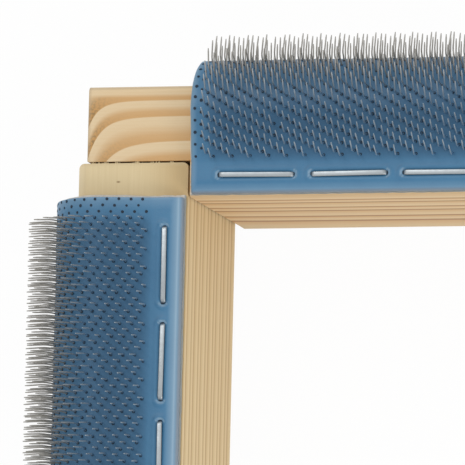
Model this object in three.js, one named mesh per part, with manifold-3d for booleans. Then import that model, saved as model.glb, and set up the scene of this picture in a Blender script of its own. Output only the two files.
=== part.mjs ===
// Punch needle frame: a glued and screwed wooden rectangle that stands on its two long bars.
// Each bar's top carries a gripper strip, a rubber face full of bent wire pins on a cloth
// backing, folded over the bar's outer edge and stapled along the work window.
// Millimetres, +Z up, origin under the middle of the frame on the surface it stands on.

import * as THREE from 'three';
import { mergeVertices } from 'three/addons/utils/BufferGeometryUtils.js';
import Module from 'manifold-3d';

const wasm = await Module();
wasm.setup();

// Wooden bars
const FRAME_LENGTH = 400;
const FRAME_WIDTH = 300;
const BAR_THICKNESS = 18.5;
const LONG_BAR_DEPTH = 38;
const SIDE_BAR_DEPTH = 32;
const EDGE_RADIUS = 1;

// Corner joints: each side bar's square end seats in a notch in the long bar
const NOTCH_DEPTH = 6;
const JOINT_GAP = 0.3;
const LONG_BAR_SETBACK = 1.3;

// Countersunk wood screws, two in each corner
const SCREW_LENGTH = 42;
const SCREW_RADIUS = 2;
const SCREW_HEAD_RADIUS = 4;
const SCREW_HEAD_HEIGHT = 2.6;
const SCREW_TIP_LENGTH = 7;
const SCREW_INSET = 8;
const SCREW_SINK = 0.3;
const SCREW_CLEARANCE = 0.3;

// Gripper strip: its layers, and its line across the bar
const FACE_THICKNESS = 1.3;
const BACKING_THICKNESS = 0.8;
const LAYER_GAP = 0.1;
const STRIP_END_GAP = 0.3;
const STRIP_EDGE_INSET = 0.3;
const INNER_FLAT_WIDTH = 5.2;
const BEND_INSET = 4.3;
const BEND_DROP = 5.5;
const BEND_STANDOFF = 0.3;
const OUTER_SLOPE_HEIGHT = 8;
const OUTER_FLAT_HEIGHT = 5;

// Wire pins, each with a knee
const PIN_COLUMNS = 4;
const PIN_PITCH = 12.8;
const PIN_END_MARGIN = 3;
const PIN_FIELD_START = 6.5;
const PIN_FIELD_END = 26;
const PIN_RADIUS = 0.17;
const PIN_SIDES = 3;
const PIN_ROOT_DEPTH = 0.5;
const PIN_FOOT_LENGTH = 1.8;
const PIN_POINT_LENGTH = 3.2;
const PIN_FOOT_LEAN = THREE.MathUtils.degToRad(-8);
const PIN_POINT_LEANS = { long: THREE.MathUtils.degToRad(34), side: THREE.MathUtils.degToRad(9) };

// Staples along the window and along the outer hem
const STAPLE_CROWN = 12.8;
const STAPLE_WIDTH = 0.95;
const STAPLE_WIRE = 0.6;
const STAPLE_INSET = 2.9;
const STAPLE_PITCHES = { window: 15.5, hem: 31 };
const STAPLE_END_MARGIN = 5.5;
const STAPLE_LINK_HEIGHT = 0.4;
const STAPLE_GROOVE_GAP = 0.1;

// Fineness of the rounded stretches, and how far a cutter reaches past what it cuts
const EDGE_STEPS = 3;
const BEND_STEPS = 8;
const SCREW_SIDES = 8;
const OVERSHOOT = 1;
const MERGE_DISTANCE = 1e-4;

// Sizes that follow
const STRIP_THICKNESS = FACE_THICKNESS + LAYER_GAP + BACKING_THICKNESS;
const WINDOW_LENGTH = FRAME_LENGTH - 2 * BAR_THICKNESS;
const WINDOW_WIDTH = FRAME_WIDTH - 2 * BAR_THICKNESS;
const LONG_BAR_LENGTH = FRAME_LENGTH - 2 * LONG_BAR_SETBACK;
const SIDE_BAR_LENGTH = WINDOW_WIDTH + 2 * (NOTCH_DEPTH - JOINT_GAP);
const SCREW_FROM_MIDDLE = FRAME_LENGTH / 2 - BAR_THICKNESS / 2;
const SCREW_LEVELS = { upper: -SCREW_INSET, lower: SCREW_INSET - SIDE_BAR_DEPTH };
const BEND_CENTRE = new THREE.Vector2(BAR_THICKNESS - BEND_INSET, -BEND_DROP);
const EDGE_CENTRE = new THREE.Vector2(BAR_THICKNESS - EDGE_RADIUS, -EDGE_RADIUS);
const BEND_RADIUS = BEND_CENTRE.distanceTo(EDGE_CENTRE) + EDGE_RADIUS + BEND_STANDOFF;

const HEM_TOP = -BEND_DROP - OUTER_SLOPE_HEIGHT;
const HEM_BOTTOM = HEM_TOP - OUTER_FLAT_HEIGHT;
const STAPLE_LINES = { window: STRIP_EDGE_INSET + STAPLE_INSET, hem: HEM_BOTTOM + STAPLE_INSET };

// Closed bodies for joining and cutting

function toSolid(geometry) {
  const plain = geometry.clone();
  plain.deleteAttribute('normal');
  plain.deleteAttribute('uv');
  const merged = mergeVertices(plain, MERGE_DISTANCE);
  return new wasm.Manifold(new wasm.Mesh({
    numProp: 3,
    vertProperties: merged.attributes.position.array,
    triVerts: new Uint32Array(merged.index.array),
  }));
}

function toGeometry(solid) {
  const mesh = solid.getMesh();
  const geometry = new THREE.BufferGeometry();
  geometry.setAttribute('position', new THREE.BufferAttribute(mesh.vertProperties, 3));
  geometry.setIndex(new THREE.BufferAttribute(mesh.triVerts, 1));
  geometry.computeVertexNormals();
  return geometry;
}

function makeMesh(name, geometry, material) {
  const mesh = new THREE.Mesh(geometry, material);
  mesh.name = name;
  return mesh;
}

// Every bar and strip is drawn in its own frame: X along the bar, Y outward from the bar's
// inner face, Z up from the bar's top. A cross-section is a shape in that Y and Z.

const SECTION_TO_BAR = new THREE.Matrix4().makeBasis(
  new THREE.Vector3(0, 1, 0),
  new THREE.Vector3(0, 0, 1),
  new THREE.Vector3(1, 0, 0),
);

function extrudeAlong(section, length, curveSegments) {
  const geometry = new THREE.ExtrudeGeometry(section, {
    depth: length,
    steps: 1,
    curveSegments,
    bevelEnabled: false,
  });
  geometry.translate(0, 0, -length / 2);
  return geometry.applyMatrix4(SECTION_TO_BAR);
}

function boxBetween(low, high) {
  const size = new THREE.Vector3().subVectors(high, low);
  const centre = new THREE.Vector3().addVectors(low, high).multiplyScalar(0.5);
  return new THREE.BoxGeometry(size.x, size.y, size.z).translate(centre.x, centre.y, centre.z);
}

// Wood

function barSection(depth) {
  const r = EDGE_RADIUS;
  const shape = new THREE.Shape();
  shape.moveTo(0, r - depth);
  shape.absarc(r, r - depth, r, Math.PI, 1.5 * Math.PI, false);
  shape.absarc(BAR_THICKNESS - r, r - depth, r, 1.5 * Math.PI, 2 * Math.PI, false);
  shape.absarc(BAR_THICKNESS - r, -r, r, 0, 0.5 * Math.PI, false);
  shape.absarc(r, -r, r, 0.5 * Math.PI, Math.PI, false);
  return shape;
}

function screwGeometry(clearance = 0, rise = 0) {
  const shank = SCREW_RADIUS + clearance;
  const head = SCREW_HEAD_RADIUS + clearance;
  const profile = [
    new THREE.Vector2(0, -SCREW_LENGTH - clearance),
    new THREE.Vector2(shank, SCREW_TIP_LENGTH - SCREW_LENGTH - clearance),
    new THREE.Vector2(shank, -SCREW_HEAD_HEIGHT - clearance),
    new THREE.Vector2(head, 0),
  ];
  if (rise > 0) {
    profile.push(new THREE.Vector2(head, rise));
  }
  profile.push(new THREE.Vector2(0, rise));
  return new THREE.LatheGeometry(profile, SCREW_SIDES);
}

function screwHole() {
  return screwGeometry(SCREW_CLEARANCE, SCREW_SINK + OVERSHOOT);
}

function screwPlaces() {
  const places = [];
  for (const end of [-1, 1]) {
    for (const level of Object.keys(SCREW_LEVELS)) {
      const y = BAR_THICKNESS - SCREW_SINK;
      const position = new THREE.Vector3(end * SCREW_FROM_MIDDLE, y, SCREW_LEVELS[level]);
      places.push({ end, level, position });
    }
  }
  return places;
}

function longBarGeometry() {
  let solid = toSolid(extrudeAlong(barSection(LONG_BAR_DEPTH), LONG_BAR_LENGTH, EDGE_STEPS));
  for (const end of [-1, 1]) {
    const shoulder = end * (WINDOW_LENGTH / 2 - JOINT_GAP);
    const beyond = end * (FRAME_LENGTH / 2 + OVERSHOOT);
    const low = new THREE.Vector3(Math.min(shoulder, beyond), -OVERSHOOT, -LONG_BAR_DEPTH - OVERSHOOT);
    const high = new THREE.Vector3(Math.max(shoulder, beyond), NOTCH_DEPTH, OVERSHOOT);
    solid = solid.subtract(toSolid(boxBetween(low, high)));
  }
  for (const { position } of screwPlaces()) {
    const hole = screwHole().translate(position.x, position.y, position.z);
    solid = solid.subtract(toSolid(hole));
  }
  return toGeometry(solid);
}

// The side bar's ends have small rounded corners in plan, and a pilot hole for each screw.
// A long bar's screws reach the side bar's end across its thickness.

function sideBarGeometry() {
  const half = SIDE_BAR_LENGTH / 2;
  const r = EDGE_RADIUS;
  const plan = new THREE.Shape();
  plan.moveTo(half, r);
  plan.absarc(half - r, BAR_THICKNESS - r, r, 0, 0.5 * Math.PI, false);
  plan.absarc(r - half, BAR_THICKNESS - r, r, 0.5 * Math.PI, Math.PI, false);
  plan.absarc(r - half, r, r, Math.PI, 1.5 * Math.PI, false);
  plan.absarc(half - r, r, r, 1.5 * Math.PI, 2 * Math.PI, false);
  const settings = {
    depth: SIDE_BAR_DEPTH + 2 * OVERSHOOT,
    curveSegments: EDGE_STEPS,
    bevelEnabled: false,
  };
  const outline = new THREE.ExtrudeGeometry(plan, settings);
  outline.translate(0, 0, -SIDE_BAR_DEPTH - OVERSHOOT);
  const section = extrudeAlong(barSection(SIDE_BAR_DEPTH), SIDE_BAR_LENGTH, EDGE_STEPS);
  let solid = toSolid(section).intersect(toSolid(outline));
  const headFromMiddle = FRAME_WIDTH / 2 - SCREW_SINK;
  for (const end of [-1, 1]) {
    for (const level of Object.values(SCREW_LEVELS)) {
      const hole = screwHole().rotateZ(-end * Math.PI / 2);
      hole.translate(end * headFromMiddle, BAR_THICKNESS / 2, level);
      solid = solid.subtract(toSolid(hole));
    }
  }
  return toGeometry(solid);
}

// Gripper strip: both faces of each layer follow one line across the bar, at a depth below
// the rubber's outer surface. The line runs flat on the bar, rises, bends round the bar's
// outer edge clear of it, and comes back to lie flat on the bar's outer face.

function strip(depth) {
  const lift = STRIP_THICKNESS - depth;
  const radius = BEND_RADIUS + lift;
  return {
    lift,
    radius,
    edge: new THREE.Vector2(STRIP_EDGE_INSET, lift),
    flat: new THREE.Vector2(STRIP_EDGE_INSET + INNER_FLAT_WIDTH, lift),
    crest: new THREE.Vector2(BEND_CENTRE.x, BEND_CENTRE.y + radius),
    flank: new THREE.Vector2(BEND_CENTRE.x + radius, BEND_CENTRE.y),
    slopeEnd: new THREE.Vector2(BAR_THICKNESS + lift, HEM_TOP),
    hem: new THREE.Vector2(BAR_THICKNESS + lift, HEM_BOTTOM),
  };
}

function lineTo(path, point) {
  path.lineTo(point.x, point.y);
}

function layerSection(outerDepth, innerDepth, grooves = { window: [], hem: [] }) {
  const outer = strip(outerDepth);
  const inner = strip(innerDepth);
  const shape = new THREE.Shape();
  shape.moveTo(outer.edge.x, outer.edge.y);
  grooves.window.forEach((point) => lineTo(shape, point));
  lineTo(shape, outer.flat);
  lineTo(shape, outer.crest);
  shape.absarc(BEND_CENTRE.x, BEND_CENTRE.y, outer.radius, Math.PI / 2, 0, true);
  lineTo(shape, outer.slopeEnd);
  grooves.hem.forEach((point) => lineTo(shape, point));
  lineTo(shape, outer.hem);
  lineTo(shape, inner.hem);
  lineTo(shape, inner.slopeEnd);
  lineTo(shape, inner.flank);
  shape.absarc(BEND_CENTRE.x, BEND_CENTRE.y, inner.radius, 0, Math.PI / 2, false);
  lineTo(shape, inner.flat);
  lineTo(shape, inner.edge);
  return shape;
}

function grooveAt(line, lift) {
  const half = STAPLE_WIDTH / 2 + STAPLE_GROOVE_GAP;
  const floor = lift - STAPLE_LINK_HEIGHT - STAPLE_GROOVE_GAP;
  return [[line - half, lift], [line - half, floor], [line + half, floor], [line + half, lift]];
}

function backingGeometry(length) {
  const { window, hem } = STAPLE_LINES;
  const grooves = {
    window: grooveAt(window, BACKING_THICKNESS).map(([y, lift]) => new THREE.Vector2(y, lift)),
    hem: grooveAt(-hem, BACKING_THICKNESS).map(([z, lift]) => new THREE.Vector2(BAR_THICKNESS + lift, -z)),
  };
  const section = layerSection(STRIP_THICKNESS - BACKING_THICKNESS, STRIP_THICKNESS, grooves);
  return extrudeAlong(section, length, BEND_STEPS);
}

// Staples: the legs of a row go through the rubber and are linked along the backing, so that
// the row is one solid. A row is drawn with X along the bar and Z out of the strip, and its
// seat puts it on the bar's top or on its outer face.

const SEATS = {
  window: new THREE.Matrix4().makeTranslation(0, STAPLE_LINES.window, 0),
  hem: new THREE.Matrix4()
    .makeTranslation(0, BAR_THICKNESS, STAPLE_LINES.hem)
    .multiply(new THREE.Matrix4().makeRotationX(-Math.PI / 2)),
};

function stapleStarts(length, seat) {
  const room = length - 2 * STAPLE_END_MARGIN - STAPLE_CROWN;
  const gaps = Math.max(1, Math.round(room / STAPLE_PITCHES[seat]));
  const first = STAPLE_END_MARGIN - length / 2;
  return Array.from({ length: gaps + 1 }, (_, i) => first + (i * room) / gaps);
}

function rectangle(path, x0, y0, x1, y1) {
  path.moveTo(x0, y0);
  path.lineTo(x1, y0);
  path.lineTo(x1, y1);
  path.lineTo(x0, y1);
  return path;
}

function extrudeAcross(shape, seat) {
  const settings = { depth: STAPLE_WIDTH, bevelEnabled: false };
  const geometry = new THREE.ExtrudeGeometry(shape, settings);
  geometry.rotateX(Math.PI / 2);
  return geometry.translate(0, STAPLE_WIDTH / 2, 0).applyMatrix4(SEATS[seat]);
}

function stapleShape(start) {
  const end = start + STAPLE_CROWN;
  const bottom = BACKING_THICKNESS - STAPLE_LINK_HEIGHT;
  const top = STRIP_THICKNESS + STAPLE_WIRE;
  const shape = new THREE.Shape();
  shape.moveTo(start, bottom);
  shape.lineTo(start + STAPLE_WIRE, bottom);
  shape.lineTo(start + STAPLE_WIRE, STRIP_THICKNESS);
  shape.lineTo(end - STAPLE_WIRE, STRIP_THICKNESS);
  shape.lineTo(end - STAPLE_WIRE, bottom);
  shape.lineTo(end, bottom);
  shape.lineTo(end, top);
  shape.lineTo(start, top);
  return shape;
}

function stapleRowGeometry(length, seat) {
  const starts = stapleStarts(length, seat);
  const last = starts[starts.length - 1] + STAPLE_CROWN;
  const bottom = BACKING_THICKNESS - STAPLE_LINK_HEIGHT;
  const link = rectangle(new THREE.Shape(), starts[0], bottom, last, BACKING_THICKNESS);
  const staples = toSolid(extrudeAcross(starts.map(stapleShape), seat));
  return toGeometry(staples.add(toSolid(extrudeAcross(link, seat))));
}

function legHoles(length, seat) {
  const holes = [];
  const bottom = BACKING_THICKNESS;
  const top = STRIP_THICKNESS + OVERSHOOT;
  for (const start of stapleStarts(length, seat)) {
    for (const x of [start, start + STAPLE_CROWN - STAPLE_WIRE]) {
      holes.push(rectangle(new THREE.Shape(), x, bottom, x + STAPLE_WIRE, top));
    }
  }
  return toSolid(extrudeAcross(holes, seat));
}

// Wire pins: the foot leans a little inward, and the point leans outward from the knee. Each
// row along the bar is shifted against the next, so that the pins stand in slanting lines.

function pinLine() {
  const outer = strip(0);
  const path = new THREE.Path();
  path.moveTo(outer.edge.x, outer.edge.y);
  lineTo(path, outer.flat);
  lineTo(path, outer.crest);
  path.absarc(BEND_CENTRE.x, BEND_CENTRE.y, outer.radius, Math.PI / 2, 0, true);
  lineTo(path, outer.slopeEnd);
  return path;
}

function pinRing(centre, along, positions) {
  for (let side = 0; side < PIN_SIDES; side += 1) {
    const angle = (2 * Math.PI * side) / PIN_SIDES;
    const across = Math.sin(angle) * PIN_RADIUS;
    positions.push(
      centre.x + Math.cos(angle) * PIN_RADIUS,
      centre.y + along.x * across,
      centre.z + along.y * across,
    );
  }
}

function addPin(x, root, along, pointLean, positions, indices) {
  const middle = new THREE.Vector2();
  const normal = new THREE.Vector2(-along.y, along.x);
  const foot = normal.clone().rotateAround(middle, -PIN_FOOT_LEAN);
  const point = normal.clone().rotateAround(middle, -pointLean);
  const knee = root.clone().addScaledVector(foot, PIN_FOOT_LENGTH);
  const base = root.clone().addScaledVector(foot, -PIN_ROOT_DEPTH);
  const tip = knee.clone().addScaledVector(point, PIN_POINT_LENGTH);
  const start = positions.length / 3;
  pinRing(new THREE.Vector3(x, base.x, base.y), along, positions);
  pinRing(new THREE.Vector3(x, knee.x, knee.y), along, positions);
  positions.push(x, tip.x, tip.y);
  const tipIndex = start + 2 * PIN_SIDES;
  for (let side = 0; side < PIN_SIDES; side += 1) {
    const low = start + side;
    const lowNext = start + (side + 1) % PIN_SIDES;
    const high = low + PIN_SIDES;
    const highNext = lowNext + PIN_SIDES;
    indices.push(low, lowNext, highNext, low, highNext, high, high, highNext, tipIndex);
  }
  for (let side = 1; side < PIN_SIDES - 1; side += 1) {
    indices.push(start, start + side + 1, start + side);
  }
}

function pinsGeometry(length, pointLean) {
  const line = pinLine();
  const total = line.getLength();
  const columnGap = (PIN_FIELD_END - PIN_FIELD_START) / (PIN_COLUMNS - 1);
  const shift = PIN_PITCH / PIN_COLUMNS;
  const room = length - 2 * PIN_END_MARGIN - shift * (PIN_COLUMNS - 1);
  const rows = Math.floor(room / PIN_PITCH) + 1;
  const first = -((rows - 1) * PIN_PITCH + shift * (PIN_COLUMNS - 1)) / 2;
  const positions = [];
  const indices = [];
  for (let column = 0; column < PIN_COLUMNS; column += 1) {
    const share = (PIN_FIELD_START + column * columnGap) / total;
    const root = line.getPointAt(share);
    const along = line.getTangentAt(share);
    for (let row = 0; row < rows; row += 1) {
      const stagger = (PIN_COLUMNS - 1 - column) * shift;
      addPin(first + row * PIN_PITCH + stagger, root, along, pointLean, positions, indices);
    }
  }
  const geometry = new THREE.BufferGeometry();
  geometry.setAttribute('position', new THREE.Float32BufferAttribute(positions, 3));
  geometry.setIndex(indices);
  return geometry;
}

function pinFaceGeometry(length, pointLean) {
  const sheet = extrudeAlong(layerSection(0, FACE_THICKNESS), length, BEND_STEPS);
  let solid = toSolid(sheet);
  for (const seat of Object.keys(SEATS)) {
    solid = solid.subtract(legHoles(length, seat));
  }
  return toGeometry(solid.add(toSolid(pinsGeometry(length, pointLean))));
}

// Finishes

const FINISHES = {
  pine: { color: 0xd9bd8e, roughness: 0.72, metalness: 0 },
  rubber: { color: 0x4a85b0, roughness: 0.6, metalness: 0 },
  cloth: { color: 0xd9d4c6, roughness: 0.92, metalness: 0 },
  stapleWire: { color: 0xb7c0c2, roughness: 0.35, metalness: 0.9 },
  zincSteel: { color: 0xc2c4c0, roughness: 0.4, metalness: 0.9 },
};

function finish(name) {
  return new THREE.MeshStandardMaterial({ ...FINISHES[name], flatShading: true });
}

// Assembly: each side's group stands at the middle of its bar's inner top edge

const SIDES = [
  { side: 'rear', turn: 0, long: true, ends: { '-1': 'left', 1: 'right' } },
  { side: 'left', turn: 1, long: false },
  { side: 'front', turn: 2, long: true, ends: { '-1': 'right', 1: 'left' } },
  { side: 'right', turn: 3, long: false },
];

function addStrip(group, side, long) {
  const length = (long ? WINDOW_LENGTH : WINDOW_WIDTH) - 2 * STRIP_END_GAP;
  const pointLean = long ? PIN_POINT_LEANS.long : PIN_POINT_LEANS.side;
  group.add(makeMesh(`${side}_strip_backing`, backingGeometry(length), finish('cloth')));
  group.add(makeMesh(`${side}_pin_face`, pinFaceGeometry(length, pointLean), finish('rubber')));
  for (const seat of Object.keys(SEATS)) {
    const row = stapleRowGeometry(length, seat);
    group.add(makeMesh(`${side}_${seat}_staples`, row, finish('stapleWire')));
  }
}

function addScrews(group, side, ends) {
  for (const { end, level, position } of screwPlaces()) {
    const name = `${side}_${ends[end]}_${level}_screw`;
    const screw = makeMesh(name, screwGeometry(), finish('zincSteel'));
    screw.position.copy(position);
    group.add(screw);
  }
}

const frame = new THREE.Group();
for (const { side, turn, long, ends } of SIDES) {
  const group = new THREE.Group();
  const fromMiddle = (long ? WINDOW_WIDTH : WINDOW_LENGTH) / 2;
  const quarter = turn * Math.PI / 2;
  group.rotation.z = quarter;
  group.position.set(-Math.sin(quarter) * fromMiddle, Math.cos(quarter) * fromMiddle, LONG_BAR_DEPTH);
  const bar = long ? longBarGeometry() : sideBarGeometry();
  group.add(makeMesh(`${side}_bar`, bar, finish('pine')));
  addStrip(group, side, long);
  if (long) {
    addScrews(group, side, ends);
  }
  frame.add(group);
}

export default frame;
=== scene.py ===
"""Punch needle frame, dressed for the camera.

A glued and screwed pine rectangle carries four blue rubber gripper strips, each stapled
along the work window and the outer hem and full of bent wire pins. Sizes inside the
classes are millimetres, and every finished mesh is in metres in the frame's own axes.
"""

import logging
import math
from dataclasses import dataclass
from enum import Enum
from typing import Callable, Iterable, Sequence

import bmesh
import bpy
import numpy as np
from mathutils import Euler, Matrix, Vector


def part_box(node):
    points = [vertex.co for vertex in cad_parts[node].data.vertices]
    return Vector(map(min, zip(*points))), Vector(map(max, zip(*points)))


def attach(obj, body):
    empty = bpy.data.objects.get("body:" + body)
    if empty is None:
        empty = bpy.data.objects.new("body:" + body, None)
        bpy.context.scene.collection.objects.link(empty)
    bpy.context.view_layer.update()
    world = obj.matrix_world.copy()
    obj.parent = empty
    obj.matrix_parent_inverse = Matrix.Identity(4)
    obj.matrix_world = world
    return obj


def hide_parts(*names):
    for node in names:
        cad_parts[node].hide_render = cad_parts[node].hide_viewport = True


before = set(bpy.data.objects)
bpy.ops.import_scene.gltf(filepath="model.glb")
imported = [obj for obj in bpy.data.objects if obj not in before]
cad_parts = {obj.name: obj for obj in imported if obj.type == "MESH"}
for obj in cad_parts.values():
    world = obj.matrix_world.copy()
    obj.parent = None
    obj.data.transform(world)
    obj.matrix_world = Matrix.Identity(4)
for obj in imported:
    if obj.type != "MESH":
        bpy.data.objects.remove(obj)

# Types
Mesh = bpy.types.Mesh
Piece = bpy.types.Object
Material = bpy.types.Material
Tree = bpy.types.NodeTree
Node = bpy.types.Node
Socket = bpy.types.NodeSocket
Sockets = bpy.types.bpy_prop_collection
Array = np.ndarray
Pair = tuple[float, float]
Triple = tuple[float, float, float]
Tint = tuple[int, int, int]
Drawn = tuple[object, object, object]

LOG = logging.getLogger("punch_needle_frame")
MM = 0.001
CLOSE = 1e-6
NEAR = 1e-3
BODY = "root"
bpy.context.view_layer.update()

# Masks that the meshes carry and the finishes read
# Painted shade of the pins on the rubber between them
PIN_SHADE = "pin_field"
# Painted highlight on the rubber's inner edge, its cut ends and round the staples' legs
EDGE_HIGHLIGHT = "pale_edge"
# Painted blue reflection of the rubber on the pins' feet
ROOT_REFLECTION = "wire_root"
# Painted darker reflection on the pins that stand on the flank
FLANK_WIRE_SHADE = "worn_wire"
# Greyer cut edges: their own grey with painted shade
GREY_EDGE_AND_SHADE = "soiled_edge"

# Corners of a bent pin, from its root upwards
WIRE_STOPS = ("Root", "Below Knee", "Above Knee", "Shoulder", "Tip")
ROOT_FADE = 1.6

# Socket types
VALUE = "NodeSocketFloat"
WHOLE = "NodeSocketInt"
VECTOR = "NodeSocketVector"
COLOUR = "NodeSocketColor"


class Side(Enum):
    """The four sides of the frame, numbered by quarter turns from the rear one."""

    REAR = 0
    LEFT = 1
    FRONT = 2
    RIGHT = 3

    @property
    def label(self) -> str:
        """The side's name as the nodes write it."""
        return self.name.lower()

    @property
    def is_long(self) -> bool:
        """Whether the side is one of the two long bars."""
        return self in (Side.REAR, Side.FRONT)


class Seat(Enum):
    """The two lines of staples on a strip."""

    WINDOW = "window"
    HEM = "hem"


class Seed(Enum):
    """Fixed seeds of the random draws, to each of which a side's number is added."""

    PIN_TURNS = 3
    SCREW_TURNS = 5
    HOLE_SIZES = 8
    STAPLE_SHIFTS = 11
    FIBRE_TURNS = 15
    STAPLE_TURNS = 21
    LEG_HOLES = 33
    SWELL = 40
    FIBRES = 60
    FRAY = 70
    PIN_PLACES = 90

    def on(self, side: Side) -> int:
        """The seed for one side."""
        return self.value + side.value


class Ray(Enum):
    """Kinds of ray that see the plain white surroundings."""

    CAMERA = "Is Camera Ray"
    GLOSSY = "Is Glossy Ray"
    TRANSMISSION = "Is Transmission Ray"


# Placing


@dataclass(frozen=True)
class FrameMeasures:
    """Sizes of the wooden frame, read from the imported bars, in millimetres.

    Args:
        window_length: Clear opening along X.
        window_width: Clear opening along Y.
        thickness: Thickness of every bar, seen from above.
        top: Height of the bars' tops.
        long_depth: Height of the long bars.
        side_depth: Height of the side bars.
        long_length: Length of the long bars.
        side_length: Length of the side bars with the ends that seat in the notches.
    """

    window_length: float
    window_width: float
    thickness: float
    top: float
    long_depth: float
    side_depth: float
    long_length: float
    side_length: float

    @classmethod
    def from_nodes(cls) -> "FrameMeasures":
        """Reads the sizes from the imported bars, in millimetres."""
        rear_low, rear_high = (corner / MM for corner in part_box("rear_bar"))
        right_low, right_high = (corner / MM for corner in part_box("right_bar"))
        return cls(
            window_length=2 * right_low.x,
            window_width=2 * rear_low.y,
            thickness=rear_high.y - rear_low.y,
            top=rear_high.z,
            long_depth=rear_high.z - rear_low.z,
            side_depth=right_high.z - right_low.z,
            long_length=rear_high.x - rear_low.x,
            side_length=right_high.y - right_low.y,
        )

    def origin(self, side: Side) -> Vector:
        """The middle of a bar's inner top edge, in metres."""
        turn = side.value * math.pi / 2
        across = (self.window_width if side.is_long else self.window_length) / 2
        return Vector((-math.sin(turn) * across, math.cos(turn) * across, self.top)) * MM

    def seat(self, side: Side) -> Matrix:
        """The placing of a bar's own millimetres: X along it, Y outward, Z up from its top."""
        turn = Matrix.Rotation(side.value * math.pi / 2, 4, "Z")
        return Matrix.Translation(self.origin(side)) @ turn @ Matrix.Scale(MM, 4)

    def strip_length(self, side: Side) -> float:
        """The length of the window's side that a strip follows."""
        return self.window_length if side.is_long else self.window_width


# Meshes


def make_object(name: str, data: bpy.types.ID) -> Piece:
    """Puts a mesh, a lamp or a camera in the scene as an object at the origin.

    Args:
        name: The object's name.
        data: What it holds.

    Returns:
        The new object.
    """
    data.name = name
    piece = bpy.data.objects.new(name, data)
    bpy.context.scene.collection.objects.link(piece)
    return piece


def finished(sketch: bmesh.types.BMesh) -> Mesh:
    """Turns a drawn shape into a mesh.

    Args:
        sketch: The drawn shape, which is freed.

    Returns:
        The mesh.
    """
    mesh = bpy.data.meshes.new("shape")
    sketch.to_mesh(mesh)
    sketch.free()
    return mesh


def mesh_from_arrays(points: Array, faces: Sequence[Sequence[int]]) -> Mesh:
    """Makes a mesh with its faces turned outwards.

    Args:
        points: One row a vertex.
        faces: Vertex numbers of each face.

    Returns:
        The mesh.
    """
    mesh = bpy.data.meshes.new("shape")
    mesh.from_pydata([tuple(point) for point in points], [], [tuple(face) for face in faces])
    sketch = bmesh.new()
    sketch.from_mesh(mesh)
    bmesh.ops.recalc_face_normals(sketch, faces=sketch.faces)
    sketch.to_mesh(mesh)
    sketch.free()
    return mesh


def shade_smooth(mesh: Mesh, angle: float) -> None:
    """Shades a mesh smoothly except across edges sharper than an angle in degrees."""
    mesh.polygons.foreach_set("use_smooth", [True] * len(mesh.polygons))
    mesh.set_sharp_from_angle(angle=math.radians(angle))


def bake_modifiers(piece: Piece) -> None:
    """Turns an object's modifiers into its mesh and removes them."""
    bpy.context.view_layer.update()
    graph = bpy.context.evaluated_depsgraph_get()
    mesh = bpy.data.meshes.new_from_object(piece.evaluated_get(graph))
    piece.modifiers.clear()
    old = piece.data
    piece.data = mesh
    mesh.name = piece.name
    bpy.data.meshes.remove(old)


def cut_away(piece: Piece, cutter: Piece, crossing: bool = False) -> None:
    """Cuts a body out of a piece and removes that body.

    Args:
        piece: The piece.
        cutter: The body.
        crossing: Whether the body's own parts cross one another.
    """
    cut = piece.modifiers.new("cut", "BOOLEAN")
    cut.operation = "DIFFERENCE"
    cut.solver = "EXACT"
    cut.use_self = crossing
    cut.object = cutter
    bake_modifiers(piece)
    bpy.data.objects.remove(cutter)


def hand_over(piece: Piece, nodes: Iterable[str] = ()) -> None:
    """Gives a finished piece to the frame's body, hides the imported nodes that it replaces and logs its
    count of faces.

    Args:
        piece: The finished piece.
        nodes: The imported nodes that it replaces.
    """
    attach(piece, BODY)
    names = list(nodes)
    if names:
        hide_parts(*names)
    LOG.info("%s: %d faces", piece.name, len(piece.data.polygons))


# Node trees


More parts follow.
